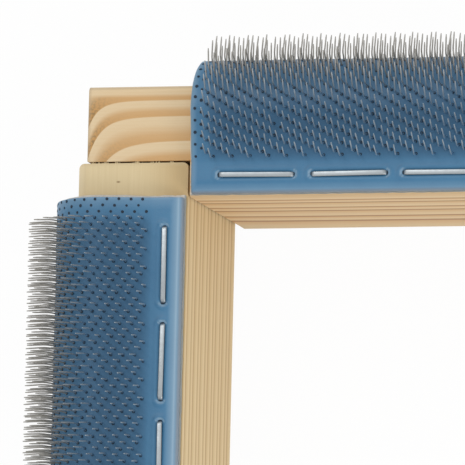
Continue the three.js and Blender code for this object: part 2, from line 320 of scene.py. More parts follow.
class NodeSketch:
    """Adds, sets and joins the nodes of one tree.

    Args:
        tree: The node tree to draw in.
    """

    def __init__(self, tree: Tree) -> None:
        """Keeps the tree."""
        self.tree = tree

    @staticmethod
    def socket(sockets: Sockets, name: str) -> Socket:
        """Finds the first enabled socket of a name among a node's inputs or outputs."""
        return next(item for item in sockets if item.name == name and item.enabled)

    def add(self, kind: str, inputs: dict[str, object] | None = None, **settings: object) -> Node:
        """Adds a node, sets its properties and fills or joins its inputs.

        Args:
            kind: The node's type.
            inputs: Values or sockets for the inputs, by name.
            settings: The node's own properties.

        Returns:
            The node.
        """
        node = self.tree.nodes.new(kind)
        for key, value in settings.items():
            setattr(node, key, value)
        for name, value in (inputs or {}).items():
            self.fill(self.socket(node.inputs, name), value)
        return node

    def fill(self, target: Socket, value: object) -> None:
        """Sets an input to a value, or joins a socket to it."""
        if isinstance(value, Socket):
            self.tree.links.new(value, target)
        else:
            target.default_value = value

    def math(self, operation: str, *values: object) -> Socket:
        """Adds one step of arithmetic.

        Args:
            operation: The Math node's operation.
            values: Its operands, numbers or sockets.

        Returns:
            The result's socket.
        """
        node = self.add("ShaderNodeMath", operation=operation)
        for target, value in zip(node.inputs, values):
            self.fill(target, value)
        return node.outputs[0]

    def product(self, first: object, *others: object) -> Socket:
        """Multiplies a value by others, one after another."""
        for other in others:
            first = self.math("MULTIPLY", first, other)
        return first

    def vector_math(self, operation: str, *values: object) -> Node:
        """Adds one step of vector arithmetic.

        Args:
            operation: The Vector Math node's operation.
            values: Its operands, vectors or sockets.

        Returns:
            The node.
        """
        node = self.add("ShaderNodeVectorMath", operation=operation)
        for target, value in zip(node.inputs, values):
            self.fill(target, value)
        return node

    def span(
        self, value: object, start: object, end: object, low: object = 0.0, high: object = 1.0,
    ) -> Socket:
        """Carries a value over from start..end to low..high, and no further."""
        node = self.add("ShaderNodeMapRange", {
            "Value": value, "From Min": start, "From Max": end, "To Min": low, "To Max": high,
        })
        return self.socket(node.outputs, "Result")

    def noise(
        self, place: object, scale: object, detail: float, roughness: float = 0.5,
    ) -> Socket:
        """Adds a noise that reads a place, with a number of finer layers and their strength."""
        node = self.add("ShaderNodeTexNoise", {
            "Vector": place, "Scale": scale, "Detail": detail, "Roughness": roughness,
        })
        return node.outputs["Fac"]

    def stretch(self, place: object, scale: Triple) -> Socket:
        """Scales a place along its three axes."""
        return self.add("ShaderNodeMapping", {"Vector": place, "Scale": scale}).outputs["Vector"]

    def mix(self, share: object, first: object, second: object) -> Socket:
        """Mixes two colours.

        Args:
            share: How much of the second colour there is.
            first: The first colour.
            second: The second colour.

        Returns:
            The mixed colour's socket.
        """
        node = self.add("ShaderNodeMix", data_type="RGBA")
        self.fill(self.socket(node.inputs, "Factor"), share)
        self.fill(self.socket(node.inputs, "A"), first)
        self.fill(self.socket(node.inputs, "B"), second)
        return self.socket(node.outputs, "Result")

    def ramp(self, value: object, stops: Sequence[Pair]) -> Socket:
        """Adds a ramp of neutral values.

        Args:
            value: What the ramp reads.
            stops: Places and levels from 0 to 1, in order.

        Returns:
            The ramp's level.
        """
        node = self.add("ShaderNodeValToRGB")
        elements = node.color_ramp.elements
        while len(elements) < len(stops):
            elements.new(0.5)
        for element, (place, level) in zip(elements, stops):
            element.position = place
            element.color = (level, level, level, 1.0)
        self.fill(node.inputs["Fac"], value)
        return node.outputs["Color"]


def colour(red: int, green: int, blue: int) -> tuple[float, float, float, float]:
    """Turns a screen colour from 0 to 255 a channel into linear values with full cover."""

    def linear(channel: int) -> float:
        """Undoes the screen's curve for one channel."""
        share = channel / 255
        return share / 12.92 if share <= 0.04045 else ((share + 0.055) / 1.055) ** 2.4

    return (linear(red), linear(green), linear(blue), 1.0)


def new_group(name: str, inputs: dict[str, str], outputs: dict[str, str], kind: str) -> Tree:
    """Makes an empty node group with named sockets.

    Args:
        name: The group's name.
        inputs: Socket types by input name.
        outputs: Socket types by output name.
        kind: The tree's type.

    Returns:
        The tree.
    """
    tree = bpy.data.node_groups.new(name, kind)
    for label, socket_type in inputs.items():
        tree.interface.new_socket(label, in_out="INPUT", socket_type=socket_type)
    for label, socket_type in outputs.items():
        tree.interface.new_socket(label, in_out="OUTPUT", socket_type=socket_type)
    return tree


def shader_group(
    name: str,
    inputs: dict[str, str],
    outputs: dict[str, str],
    draw: Callable[[NodeSketch, Sockets], dict[str, object]],
) -> Tree:
    """Makes a shader node group once, or returns the one that is there.

    Args:
        name: The group's name.
        inputs: Socket types by input name.
        outputs: Socket types by output name.
        draw: Draws the group and returns what goes to each output.

    Returns:
        The group.
    """
    tree = bpy.data.node_groups.get(name)
    if tree is None:
        tree = new_group(name, inputs, outputs, "ShaderNodeTree")
        sketch = NodeSketch(tree)
        results = draw(sketch, sketch.add("NodeGroupInput").outputs)
        sketch.add("NodeGroupOutput", results)
    return tree


# Pine, in a bar's own millimetres and in shares
CURL_DEPTH = (1.134, 0.493)
CURL_REACH = (1.965, 0.174)
CURL_STRENGTH = 0.4
WIDE_YEARS = 0.29
WANDER_STRETCH = (0.006, 0.05, 0.05)
YEAR_STRENGTHS = (0.78, 0.35)
LATE_WOOD = (
    (0.0, 0.85), (0.03, 0.1), (0.07, 0.0), (0.38, 0.1), (0.55, 0.52), (0.68, 0.85), (0.95, 1.0), (1.0, 0.95),
)
RING_LINE = ((0.0, 0.9), (0.05, 0.0), (0.74, 0.0), (0.88, 0.75), (1.0, 1.0))
FIBRE_STRETCH = (0.05, 2.6, 2.6)
FIBRE_SHARES = (1.3, -0.45)
BLOTCH_SCALE = 0.09
BLOTCH_SHARE = 0.35
GRAIN_SCALE = 2.4
RESIN = (142, 112, 68)
RESIN_GROUND = 0.35
RESIN_SPECKS = (0.46, 0.58)
# The rings fade near the bar's top edges; along the inner edge this paints a highlight on its easing
TOP_FADE = 0.85
TOP_FADE_LEVELS = (-2.5, -0.8)
OUTER_RIM = (2.7, 3.8)
INNER_RIM = (0.5, 1.2)
INNER_SKIN = 0.3
INNER_PALING = 0.38
# Painted shade on the eased outer edge, and a painted shade line along it
EDGE_SHADE_SHARE = 0.7
ARRIS_SHADE_PLACE = 0.75
ARRIS_SHADE_WIDTH = 0.28
ARRIS_SHADE_SHARE = 0.5
# Sawn ends darker: the end grain's own tone with painted shade on the eased end
SAWN_DEPTH = 0.6
SAWN_SHARE = 0.7
FLECK = (120, 88, 52)
FLECK_SHAPE = (6.0, 3.0, 3.0)
FLECK_RIM = (0.4, 1.3)
FLECK_SHARE = 0.75
PINE_ROUGHNESS = (-0.12, 0.72)
HEIGHT_SHARES = (0.4, 0.6)
PINE_SPECULAR = 0.3
PINE_RELIEF = 0.00006

# Inputs of the pine group that are fields of a pine finish too
PINE_VALUES = (
    "Pith Out", "Pith Down", "Ring Width", "Ring Shift", "Unevenness", "Waviness", "Curl", "Contrast",
    "Edge Width", "Inner Line", "Inner Bleach", "Wide From",
)
PINE_COLOURS = ("Pale", "Warm", "Dark", "Worn", "Sawn", "Line")

# Mottled finishes
MOTTLE_SHARES = (0.7, 0.3)
MOTTLE_LEVELS = (0.32, 0.68)
ROUGHNESS_DRIFT = 0.12


class GrowthRings:
    """Draws the inside of the pine group: yearly rings round a pith, and fibres along the bar.

    Args:
        sketch: The group's sketch.
        given: Its inputs.
    """

    def __init__(self, sketch: NodeSketch, given: Sockets) -> None:
        """Takes the bar's own coordinates apart, X along it, Y outward, Z up."""
        self.sketch = sketch
        self.given = given
        parts = sketch.add("ShaderNodeSeparateXYZ", {"Vector": self.given["Vector"]})
        self.along, self.outward, self.up = parts.outputs
        self.inset = sketch.math("SUBTRACT", self.given["Thickness"], self.outward)

    def curl(self) -> tuple[Socket, Socket]:
        """Bends the rings at one end of the bar.

        Returns:
            How strongly they bend, from 0 to 1, and the distance from the outer face once bent.
        """
        sketch = self.sketch
        from_end = sketch.math("ABSOLUTE", sketch.math("SUBTRACT", self.along, self.given["Curl End"]))
        deep = sketch.math("MAXIMUM", self.inset, 0.0)
        reach = sketch.math("MULTIPLY_ADD", deep, CURL_REACH[1], CURL_REACH[0])
        fade = sketch.math("DIVIDE", from_end, sketch.product(reach, -1.0))
        fade = sketch.math("EXPONENT", fade)
        bend = sketch.math("MULTIPLY_ADD", deep, CURL_DEPTH[1], CURL_DEPTH[0])
        bend = sketch.product(bend, fade, self.given["Curl"])
        return sketch.product(fade, self.given["Curl"]), sketch.math("SUBTRACT", self.inset, bend)

    def years(self, bent: Socket) -> Socket:
        """Counts the years from the pith.

        Args:
            bent: Distance from the outer face, once bent.

        Returns:
            The count, whose fraction is the place within a year.
        """
        sketch, given = self.sketch, self.given
        wide = sketch.math("MAXIMUM", sketch.math("SUBTRACT", bent, given["Wide From"]), 0.0)
        grown = sketch.math("MULTIPLY_ADD", wide, -WIDE_YEARS, bent)
        out = sketch.math("ADD", grown, given["Pith Out"])
        down = sketch.math("ADD", self.up, given["Pith Down"])
        square = sketch.math("ADD", sketch.product(out, out), sketch.product(down, down))
        wander = sketch.noise(sketch.stretch(given["Vector"], WANDER_STRETCH), 1.0, 2.0)
        wave = sketch.math("SUBTRACT", wander, 0.5)
        radius = sketch.math("MULTIPLY_ADD", wave, given["Waviness"], sketch.math("SQRT", square))
        count = sketch.math("ADD", radius, given["Ring Shift"])
        count = sketch.math("DIVIDE", count, given["Ring Width"])
        swing = sketch.math("COSINE", sketch.product(count, math.pi))
        return sketch.math("MULTIPLY_ADD", swing, given["Unevenness"], count)

    def unbleached(self, shallow: Socket) -> Socket:
        """How much of the rings is left on the bar's two top edges, where they fade out; along the inner edge
        this is a painted highlight on its easing.

        Args:
            shallow: How near the bar's top a place is.

        Returns:
            The share that is left.
        """
        sketch, width = self.sketch, self.given["Edge Width"]
        ends = [sketch.product(width, share) for share in OUTER_RIM]
        outer = sketch.product(shallow, sketch.span(self.inset, *ends, 1.0, 0.0))
        inner = sketch.span(self.outward, *INNER_RIM, self.given["Inner Bleach"], 0.0)
        inner = sketch.product(shallow, inner)
        return sketch.math("SUBTRACT", 1.0, sketch.math("MAXIMUM", outer, inner))

    def late_wood(
        self, count: Socket, curled: Socket,
        kept: Socket, inner: Socket,
    ) -> Socket:
        """How dark the late wood is.

        Args:
            count: The count of years.
            curled: How strongly the rings bend.
            kept: How much of them the light has left.
            inner: The mask of the inner face.

        Returns:
            The strength of the late wood's colour.
        """
        sketch = self.sketch
        year = sketch.math("FLOOR", count)
        dice = sketch.add("ShaderNodeTexWhiteNoise", {"W": year}, noise_dimensions="1D")
        strength = sketch.math("MULTIPLY_ADD", dice.outputs["Value"], YEAR_STRENGTHS[1], YEAR_STRENGTHS[0])
        bent = sketch.math("MULTIPLY_ADD", curled, CURL_STRENGTH, 1.0)
        strength = sketch.product(strength, bent)
        late = sketch.ramp(sketch.math("FRACT", count), LATE_WOOD)
        planed = sketch.math("MULTIPLY_ADD", inner, -INNER_PALING, 1.0)
        return sketch.product(late, strength, self.given["Contrast"], kept, planed)

    def early_colour(self, fibre: Socket) -> Socket:
        """The early wood with its fibres and its warmer stretches.

        Args:
            fibre: The fibres' noise.

        Returns:
            The colour.
        """
        sketch, given = self.sketch, self.given
        share = sketch.math("MULTIPLY_ADD", fibre, *FIBRE_SHARES)
        pale = sketch.mix(share, given["Pale"], given["Warm"])
        blotch = sketch.noise(given["Vector"], BLOTCH_SCALE, 3.0)
        return sketch.mix(sketch.product(blotch, BLOTCH_SHARE), pale, given["Warm"])

    def late_colour(self, curled: Socket, late: Socket) -> Socket:
        """The late wood with specks of resin where the rings bend.

        Args:
            curled: How strongly the rings bend.
            late: How dark the late wood is.

        Returns:
            The colour.
        """
        sketch = self.sketch
        speck = sketch.span(sketch.noise(self.given["Vector"], GRAIN_SCALE, 3.0), *RESIN_SPECKS)
        resin = sketch.math("MULTIPLY_ADD", curled, RESIN_GROUND, sketch.product(curled, late, speck))
        return sketch.mix(resin, self.given["Dark"], colour(*RESIN))

    def wear(self, tone: Socket, shallow: Socket) -> Socket:
        """Adds painted shade on the eased outer edge with a darker painted shade line along it, and the sawn
        ends, darker with end grain and painted shade.

        Args:
            tone: The wood's colour.
            shallow: How near the bar's top a place is.

        Returns:
            The wood's colour with its shaded edges and ends.
        """
        sketch, given, width = self.sketch, self.given, self.given["Edge Width"]
        # Painted shade on the eased outer edge, then a painted shade line along it
        tone = sketch.mix(sketch.span(self.inset, width, 0.0, 0.0, EDGE_SHADE_SHARE), tone, given["Worn"])
        arris = sketch.math("SUBTRACT", self.inset, sketch.product(width, ARRIS_SHADE_PLACE))
        arris = sketch.span(sketch.math("ABSOLUTE", arris), 0.0, ARRIS_SHADE_WIDTH, ARRIS_SHADE_SHARE, 0.0)
        tone = sketch.mix(sketch.product(arris, shallow), tone, given["Sawn"])
        past = sketch.math("SUBTRACT", given["Half Length"], sketch.math("ABSOLUTE", self.along))
        return sketch.mix(sketch.span(past, 0.0, SAWN_DEPTH, SAWN_SHARE, 0.0), tone, given["Sawn"])

    def fleck(self, tone: Socket) -> Socket:
        """Adds the small dark fleck.

        Args:
            tone: The wood's colour.

        Returns:
            The flecked wood's colour.
        """
        sketch = self.sketch
        away = sketch.vector_math("SUBTRACT", self.given["Vector"], self.given["Fleck"])
        shaped = sketch.vector_math("MULTIPLY", away.outputs["Vector"], FLECK_SHAPE)
        size = sketch.vector_math("LENGTH", shaped.outputs["Vector"])
        spot = sketch.span(sketch.socket(size.outputs, "Value"), *FLECK_RIM, FLECK_SHARE, 0.0)
        return sketch.mix(spot, tone, colour(*FLECK))

    def draw(self) -> dict[str, object]:
        """Draws the whole group.

        Returns:
            What goes to each output.
        """
        sketch, given = self.sketch, self.given
        curled, bent = self.curl()
        count = self.years(bent)
        shallow = sketch.span(self.up, *TOP_FADE_LEVELS, 0.0, TOP_FADE)
        kept = self.unbleached(shallow)
        inner = sketch.span(self.outward, 0.0, INNER_SKIN, 1.0, 0.0)
        late = self.late_wood(count, curled, kept, inner)
        line = sketch.ramp(sketch.math("FRACT", count), RING_LINE)
        line = sketch.product(line, inner, given["Inner Line"], kept)
        fibre = sketch.noise(sketch.stretch(given["Vector"], FIBRE_STRETCH), 1.0, 4.0, 0.65)
        tone = sketch.mix(late, self.early_colour(fibre), self.late_colour(curled, late))
        tone = sketch.mix(line, tone, given["Line"])
        tone = self.fleck(self.wear(tone, shallow))
        return {
            "Color": tone,
            "Roughness": sketch.math("MULTIPLY_ADD", late, *PINE_ROUGHNESS),
            "Height": sketch.math(
                "MULTIPLY_ADD", late, HEIGHT_SHARES[0], sketch.product(fibre, HEIGHT_SHARES[1]),
            ),
        }


def growth_rings() -> Tree:
    """The group that draws pine.

    Returns:
        The group. It reads a bar's own millimetres, X along it, Y outward, Z up.
    """
    values = (*PINE_VALUES, "Thickness", "Curl End", "Half Length")
    inputs = {**dict.fromkeys(("Vector", "Fleck"), VECTOR), **dict.fromkeys(values, VALUE)}
    inputs.update(dict.fromkeys(PINE_COLOURS, COLOUR))
    outputs = {"Color": COLOUR, "Roughness": VALUE, "Height": VALUE}
    return shader_group(
        "Pine growth rings", inputs, outputs, lambda sketch, given: GrowthRings(sketch, given).draw(),
    )


def mottle() -> Tree:
    """The group for slow tonal drift and fine tooth on rubber, cloth and metal.

    Returns:
        The group, with a colour, a mask and a height.
    """
    inputs = {"Scale": VALUE, "Tooth": VALUE, "Amount": VALUE, "Base": COLOUR, "Other": COLOUR}
    outputs = {"Color": COLOUR, "Mask": VALUE, "Height": VALUE}

    def draw(sketch: NodeSketch, given: Sockets) -> dict[str, object]:
        """Draws two noises on the object's own place."""
        place = sketch.add("ShaderNodeTexCoord").outputs["Object"]
        slow = sketch.noise(place, given["Scale"], 4.0, 0.6)
        fine = sketch.noise(place, given["Tooth"], 3.0, 0.7)
        fine_part = sketch.product(fine, MOTTLE_SHARES[1])
        mask = sketch.math("MULTIPLY_ADD", slow, MOTTLE_SHARES[0], fine_part)
        mask = sketch.span(mask, *MOTTLE_LEVELS)
        share = sketch.product(mask, given["Amount"])
        tone = sketch.mix(share, given["Base"], given["Other"])
        return {"Color": tone, "Mask": mask, "Height": fine}

    return shader_group("Mottle", inputs, outputs, draw)


# Finishes


def open_tree(owner: Material | bpy.types.World) -> NodeSketch:
    """Empties a material's or a world's own tree to draw in it."""
    owner.use_nodes = True
    owner.node_tree.nodes.clear()
    return NodeSketch(owner.node_tree)


def open_material(name: str) -> tuple[Material, NodeSketch, Node]:
    """Makes a material with a Principled shader joined to its output.

    Args:
        name: The material's name.

    Returns:
        The material, its sketch and its shader.
    """
    material = bpy.data.materials.new(name)
    sketch = open_tree(material)
    shader = sketch.add("ShaderNodeBsdfPrincipled")
    sketch.add("ShaderNodeOutputMaterial", {"Surface": shader.outputs["BSDF"]})
    return material, sketch, shader


def add_bump(sketch: NodeSketch, shader: Node, height: object, depth: float) -> None:
    """Joins a height to a shader as relief of a depth in metres."""
    bump = sketch.add("ShaderNodeBump", {"Height": height, "Strength": 1.0, "Distance": depth})
    sketch.fill(shader.inputs["Normal"], bump.outputs["Normal"])


@dataclass(frozen=True)
class PineFinish:
    """Bare planed pine of one bar.

    Args:
        pith_out: How far the tree's middle lies beyond the bar's outer face.
        pith_down: How far it lies below the bar's top.
        ring_width: One year's growth.
        ring_shift: Where the first ring starts.
        unevenness: How far the rings are wide and narrow by turns.
        curl: How strongly the rings turn at one end of the bar.
        curl_side: The end that they turn at, -1 or 1 along X.
        contrast: How strongly the late wood shows.
        waviness: How far the rings wander.
        edge_width: Width of the eased outer edge's painted shade.
        inner_line: Strength of the dark line of each ring on the inner face.
        inner_bleach: How far the inner top edge has lost its rings, a painted highlight on that eased edge.
        wide_from: Distance from the outer face beyond which the years are wider.
        fleck: Place of a small dark fleck in the bar's own millimetres.
        pale: The early wood.
        warm: Its warmer stretches.
        dark: The late wood.
        worn: The painted shade of the eased outer edge.
        sawn: The sawn ends' end grain with painted shade, also the painted shade line along the outer edge.
        line: The dark line of a ring.
    """

    pith_out: float
    pith_down: float
    ring_width: float
    ring_shift: float = 0.0
    unevenness: float = 0.12
    curl: float = 0.0
    curl_side: int = -1
    contrast: float = 0.8
    waviness: float = 1.2
    edge_width: float = 0.6
    inner_line: float = 0.55
    inner_bleach: float = 0.0
    wide_from: float = 100.0
    fleck: Triple = (0.0, -50.0, 0.0)
    pale: Tint = (221, 200, 165)
    warm: Tint = (212, 184, 142)
    dark: Tint = (193, 143, 80)
    worn: Tint = (198, 182, 156)
    sawn: Tint = (176, 156, 128)
    line: Tint = (154, 108, 76)

    def material(self, side: Side, measures: FrameMeasures) -> Material:
        """Builds the material of one bar.

        Args:
            side: The bar's side.
            measures: The frame's sizes.

        Returns:
            The material.
        """
        material, sketch, shader = open_material(f"pine_{side.label}")
        place = sketch.add("ShaderNodeTexCoord").outputs["Object"]
        own = sketch.add("ShaderNodeMapping", {
            "Vector": place,
            "Location": tuple(measures.origin(side)),
            "Rotation": (0.0, 0.0, side.value * math.pi / 2),
            "Scale": (MM, MM, MM),
        }, vector_type="TEXTURE")
        length = measures.long_length if side.is_long else measures.side_length
        rings = sketch.add("ShaderNodeGroup", node_tree=growth_rings())
        values = {
            "Vector": own.outputs["Vector"], "Fleck": self.fleck, "Thickness": measures.thickness,
            "Curl End": self.curl_side * length / 2, "Half Length": length / 2,
        }
        for name in PINE_VALUES + PINE_COLOURS:
            value = getattr(self, name.lower().replace(" ", "_"))
            values[name] = colour(*value) if name in PINE_COLOURS else value
        for name, value in values.items():
            sketch.fill(rings.inputs[name], value)
        sketch.fill(shader.inputs["Base Color"], rings.outputs["Color"])
        sketch.fill(shader.inputs["Roughness"], rings.outputs["Roughness"])
        shader.inputs["Specular IOR Level"].default_value = PINE_SPECULAR
        add_bump(sketch, shader, rings.outputs["Height"], PINE_RELIEF)
        return material


@dataclass(frozen=True)
class MottledFinish:
    """A finish whose colour drifts a little over the surface.

    Args:
        name: The material's name.
        base: Its main colour.
        other: The colour that it drifts to.
        roughness: How matt it is.
        metallic: 1 for bare metal.
        amount: How far the drift goes.
        scale: Drifts a metre.
        tooth: Fine grains a metre.
        relief: Depth of the fine grains in metres.
        specular: Strength of the reflection of a surface that isn't metal.
        sheen: Weight of the fuzz on cloth.
        marks: Colours where the mesh's own named masks are.
    """

    name: str
    base: Tint
    other: Tint
    roughness: float
    metallic: float = 0.0
    amount: float = 0.5
    scale: float = 60.0
    tooth: float = 2500.0
    relief: float = 0.00003
    specular: float = 0.5
    sheen: float = 0.0
    marks: tuple[tuple[str, Tint], ...] = ()

    def material(self) -> Material:
        """Builds the material.

        Returns:
            The material.
        """
        material, sketch, shader = open_material(self.name)
        drift = sketch.add("ShaderNodeGroup", node_tree=mottle())
        values = {
            "Scale": self.scale, "Tooth": self.tooth, "Amount": self.amount,
            "Base": colour(*self.base), "Other": colour(*self.other),
        }
        for name, value in values.items():
            sketch.fill(drift.inputs[name], value)
        tone = drift.outputs["Color"]
        for name, tint in self.marks:
            mask = sketch.add("ShaderNodeAttribute", attribute_name=name)
            tone = sketch.mix(mask.outputs["Fac"], tone, colour(*tint))
        sketch.fill(shader.inputs["Base Color"], tone)
        least = self.roughness - ROUGHNESS_DRIFT / 2
        rough = sketch.math("MULTIPLY_ADD", drift.outputs["Mask"], ROUGHNESS_DRIFT, least)
        sketch.fill(shader.inputs["Roughness"], rough)
        shader.inputs["Metallic"].default_value = self.metallic
        shader.inputs["Specular IOR Level"].default_value = self.specular
        shader.inputs["Sheen Weight"].default_value = self.sheen
        add_bump(sketch, shader, drift.outputs["Height"], self.relief)
        return material


PINE = {
    Side.REAR: PineFinish(
        pith_out=43.0, pith_down=49.6, ring_width=2.36, ring_shift=-3.285, curl=1.0, contrast=0.84,
        waviness=0.4, edge_width=0.5, inner_line=0.95, inner_bleach=0.85, wide_from=9.25,
    ),
    Side.LEFT: PineFinish(
        pith_out=-2.0, pith_down=150.0, ring_width=2.32, ring_shift=1.6, contrast=0.88, waviness=0.5,
        edge_width=1.35, inner_line=0.55, fleck=(134.1, 11.8, 0.0), pale=(221, 203, 163),
        warm=(204, 182, 142), dark=(188, 160, 114), worn=(216, 200, 168), sawn=(200, 180, 142),
    ),
    Side.FRONT: PineFinish(pith_out=30.0, pith_down=62.0, ring_width=2.8, curl=0.8, curl_side=1),
    Side.RIGHT: PineFinish(
        pith_out=25.0, pith_down=90.0, ring_width=2.5, pale=(226, 206, 168), warm=(214, 188, 145),
        dark=(184, 142, 92),
    ),
}
RUBBER = MottledFinish(
    "blue_rubber", (54, 108, 145), (69, 123, 157), roughness=0.46, amount=0.6, scale=160.0,
    tooth=2600.0, relief=0.00004, specular=0.5,
    # Marks: painted shade among the pins, painted highlights on the edges and round the staples' legs, and
    # the cut edge's own grey with painted shade
    marks=((PIN_SHADE, (44, 92, 125)), (EDGE_HIGHLIGHT, (162, 186, 202)), (GREY_EDGE_AND_SHADE, (136, 138, 140))),
)
CLOTH = MottledFinish(
    "backing_cloth", (222, 214, 202), (192, 182, 172), roughness=0.95, amount=0.6, scale=900.0,
    # The cloth's inner edge: its own grey with painted shade
    tooth=3500.0, relief=0.00012, specular=0.2, sheen=0.3, marks=((GREY_EDGE_AND_SHADE, (142, 148, 145)),),
)
PIN_WIRE = MottledFinish(
    "pin_wire", (172, 182, 190), (152, 162, 170), roughness=0.36, metallic=0.5, amount=0.6,
    # Marks: painted blue reflection of the rubber on the pins' feet, and painted darker reflection on the
    # flank's pins
    scale=700.0, relief=0.000004, marks=((ROOT_REFLECTION, (108, 146, 176)), (FLANK_WIRE_SHADE, (158, 155, 149))),
)
# Dark plugs that paint the shade inside the pins' and the staple legs' holes
HOLE_SHADE = MottledFinish(
    "pin_hole", (18, 34, 50), (28, 46, 62), roughness=0.8, amount=0.5, scale=900.0, relief=0.00001,
)
STAPLE_WIRE = MottledFinish(
    "staple_wire", (164, 170, 173), (147, 153, 157), roughness=0.4, metallic=1.0, amount=0.6,
    scale=500.0, relief=0.00001,
)
ZINC = MottledFinish(
    "zinc_screw", (196, 197, 192), (168, 170, 166), roughness=0.34, metallic=1.0, amount=0.6,
    scale=300.0, relief=0.00001,
)


# Wood


@dataclass
class WoodFrame:
    """The four pine bars.

    Args:
        measures: The frame's sizes.
        notch_depth: How deep each side bar's end seats in a long bar.
        joint_gap: The gap round that end.
        edge_radius: The eased long edges.
        end_ease: The eased edges of a sawn end.
        rounding_steps: Steps round an eased edge.
        screws: The corner screws, which leave their holes in the bars.
        fibre_clumps: Clumps of torn fibres along one edge of a sawn end.
        clump_size: Fibres in a clump.
        clump_margin: Least distance of a clump from the bar's edges.
        clump_spread: How far a clump's fibres spread.
        fibre_margin: Least distance of a fibre from the bar's edges.
        fibre_levels: How deep the fibres lie below the bar's face.
        fibre_sink: How deep they are rooted in the sawn end.
        fibre_radius: Radius of a fibre at its root.
        fibre_reach: Length of a fibre.
    """

    measures: FrameMeasures
    screws: "CornerScrews"
    notch_depth: float = 6.0
    joint_gap: float = 0.3
    edge_radius: float = 0.9
    end_ease: float = 0.3
    rounding_steps: int = 5
    fibre_clumps: int = 9
    clump_size: int = 7
    clump_margin: float = 1.6
    clump_spread: float = 0.3
    fibre_margin: float = 1.1
    fibre_levels: Pair = (0.02, 0.2)
    fibre_sink: float = 0.04
    fibre_radius: float = 0.1
    fibre_reach: float = 0.33

    def long_plan(self) -> list[Pair]:
        """The outline of a long bar from above, with its two corner notches."""
        end = self.measures.long_length / 2
        shoulder = self.measures.window_length / 2 - self.joint_gap
        return [
            (-shoulder, 0), (shoulder, 0), (shoulder, self.notch_depth), (end, self.notch_depth),
            (end, self.measures.thickness), (-end, self.measures.thickness),
            (-end, self.notch_depth), (-shoulder, self.notch_depth),
        ]

    def side_plan(self) -> list[Pair]:
        """The outline of a side bar from above."""
        end = self.measures.side_length / 2
        width = self.measures.thickness
        return [(-end, 0), (end, 0), (end, width), (-end, width)]

    def ease(
        self, sketch: bmesh.types.BMesh, chosen: Callable[[Vector, Vector], bool], radius: float,
    ) -> None:
        """Rounds the edges whose two ends pass a test."""
        edges = [edge for edge in sketch.edges if chosen(edge.verts[0].co, edge.verts[1].co)]
        bmesh.ops.bevel(
            sketch, geom=edges, offset=radius, offset_type="OFFSET", affect="EDGES",
            segments=self.rounding_steps, profile=0.5, clamp_overlap=True,
        )

    def bar_mesh(self, side: Side) -> Mesh:
        """Builds one bar in its own millimetres.

        Args:
            side: The bar's side.

        Returns:
            The mesh.
        """
        depth = self.measures.long_depth if side.is_long else self.measures.side_depth
        plan = self.long_plan() if side.is_long else self.side_plan()
        count = len(plan)
        points = [(x, y, z) for z in (-depth, 0.0) for x, y in plan]
        faces = [[*range(count)][::-1], [*range(count, 2 * count)]]
        faces += [[i, (i + 1) % count, (i + 1) % count + count, i + count] for i in range(count)]
        sketch = bmesh.new()
        corners = [sketch.verts.new(point) for point in points]
        for face in faces:
            sketch.faces.new([corners[i] for i in face])
        reach = max(x for x, _ in plan)
        width = self.measures.thickness

        def along(a: Vector, b: Vector) -> bool:
            """Whether an edge is one of the bar's four long ones."""
            level = abs(a.z - b.z) < CLOSE and abs(a.y - b.y) < CLOSE
            return level and (abs(a.y) < CLOSE or abs(a.y - width) < CLOSE)

        def upright(a: Vector, b: Vector) -> bool:
            """Whether an edge is a corner of a side bar seen from above."""
            stands = abs(a.x - b.x) < CLOSE and abs(a.y - b.y) < CLOSE
            return stands and abs(abs(a.x) - reach) < CLOSE

        if not side.is_long:
            self.ease(sketch, upright, self.edge_radius)
        self.ease(sketch, along, self.edge_radius)
        if side.is_long:
            self.ease(sketch, lambda a, b: min(abs(a.x), abs(b.x)) > reach - NEAR, self.end_ease)
        bmesh.ops.recalc_face_normals(sketch, faces=sketch.faces)
        return finished(sketch)

    def build(self) -> None:
        """Builds, cuts, dresses and hands over the bars."""
        for side in Side:
            mesh = self.bar_mesh(side)
            mesh.transform(self.measures.seat(side))
            bar = make_object(f"{side.label}_pine_bar", mesh)
            cut_away(bar, self.screws.hole_cutter())
            shade_smooth(bar.data, angle=35)
            bar.data.materials.clear()
            bar.data.materials.append(PINE[side].material(side, self.measures))
            hand_over(bar, [f"{side.label}_bar"])
            if not side.is_long:
                self.saw_fibres(side, bar.data.materials[0])

    def saw_fibres(self, side: Side, material: Material) -> None:
        """Builds the fibres that the saw has torn at a side bar's ends.

        Args:
            side: The bar's side.
            material: The bar's own pine.
        """
        dice = np.random.default_rng(Seed.FIBRES.on(side))
        end, width = self.measures.side_length / 2, self.measures.thickness
        count = self.fibre_clumps * self.clump_size
        points, headings = [], []
        for heading in (-1.0, 1.0):
            for level, inward in ((0.0, -1.0), (-self.measures.side_depth, 1.0)):
                clumps = dice.uniform(self.clump_margin, width - self.clump_margin, self.fibre_clumps)
                across = np.repeat(clumps, self.clump_size) + dice.normal(0, self.clump_spread, count)
                across = np.clip(across, self.fibre_margin, width - self.fibre_margin)
                sunk = level + inward * dice.uniform(*self.fibre_levels, count)
                points += [(heading * (end - self.fibre_sink), y, z) for y, z in zip(across, sunk)]
                headings += [(heading, 0.0, 0.0)] * count
        places = point_mesh(points, headings, (0.0, 1.0, 0.0))
        set_repeats(f"{side.label}_saw_fibres", places, peg_tree(pointed=True), {
            "Radius": self.fibre_radius, "Height": self.fibre_reach, "Sides": 4,
            "Turn Spread": (0.35, 0.35, 1.0), "Size Spread": 0.3, "Seed": Seed.FIBRE_TURNS.on(side),
            "Material": material,
        }, self.measures.seat(side))


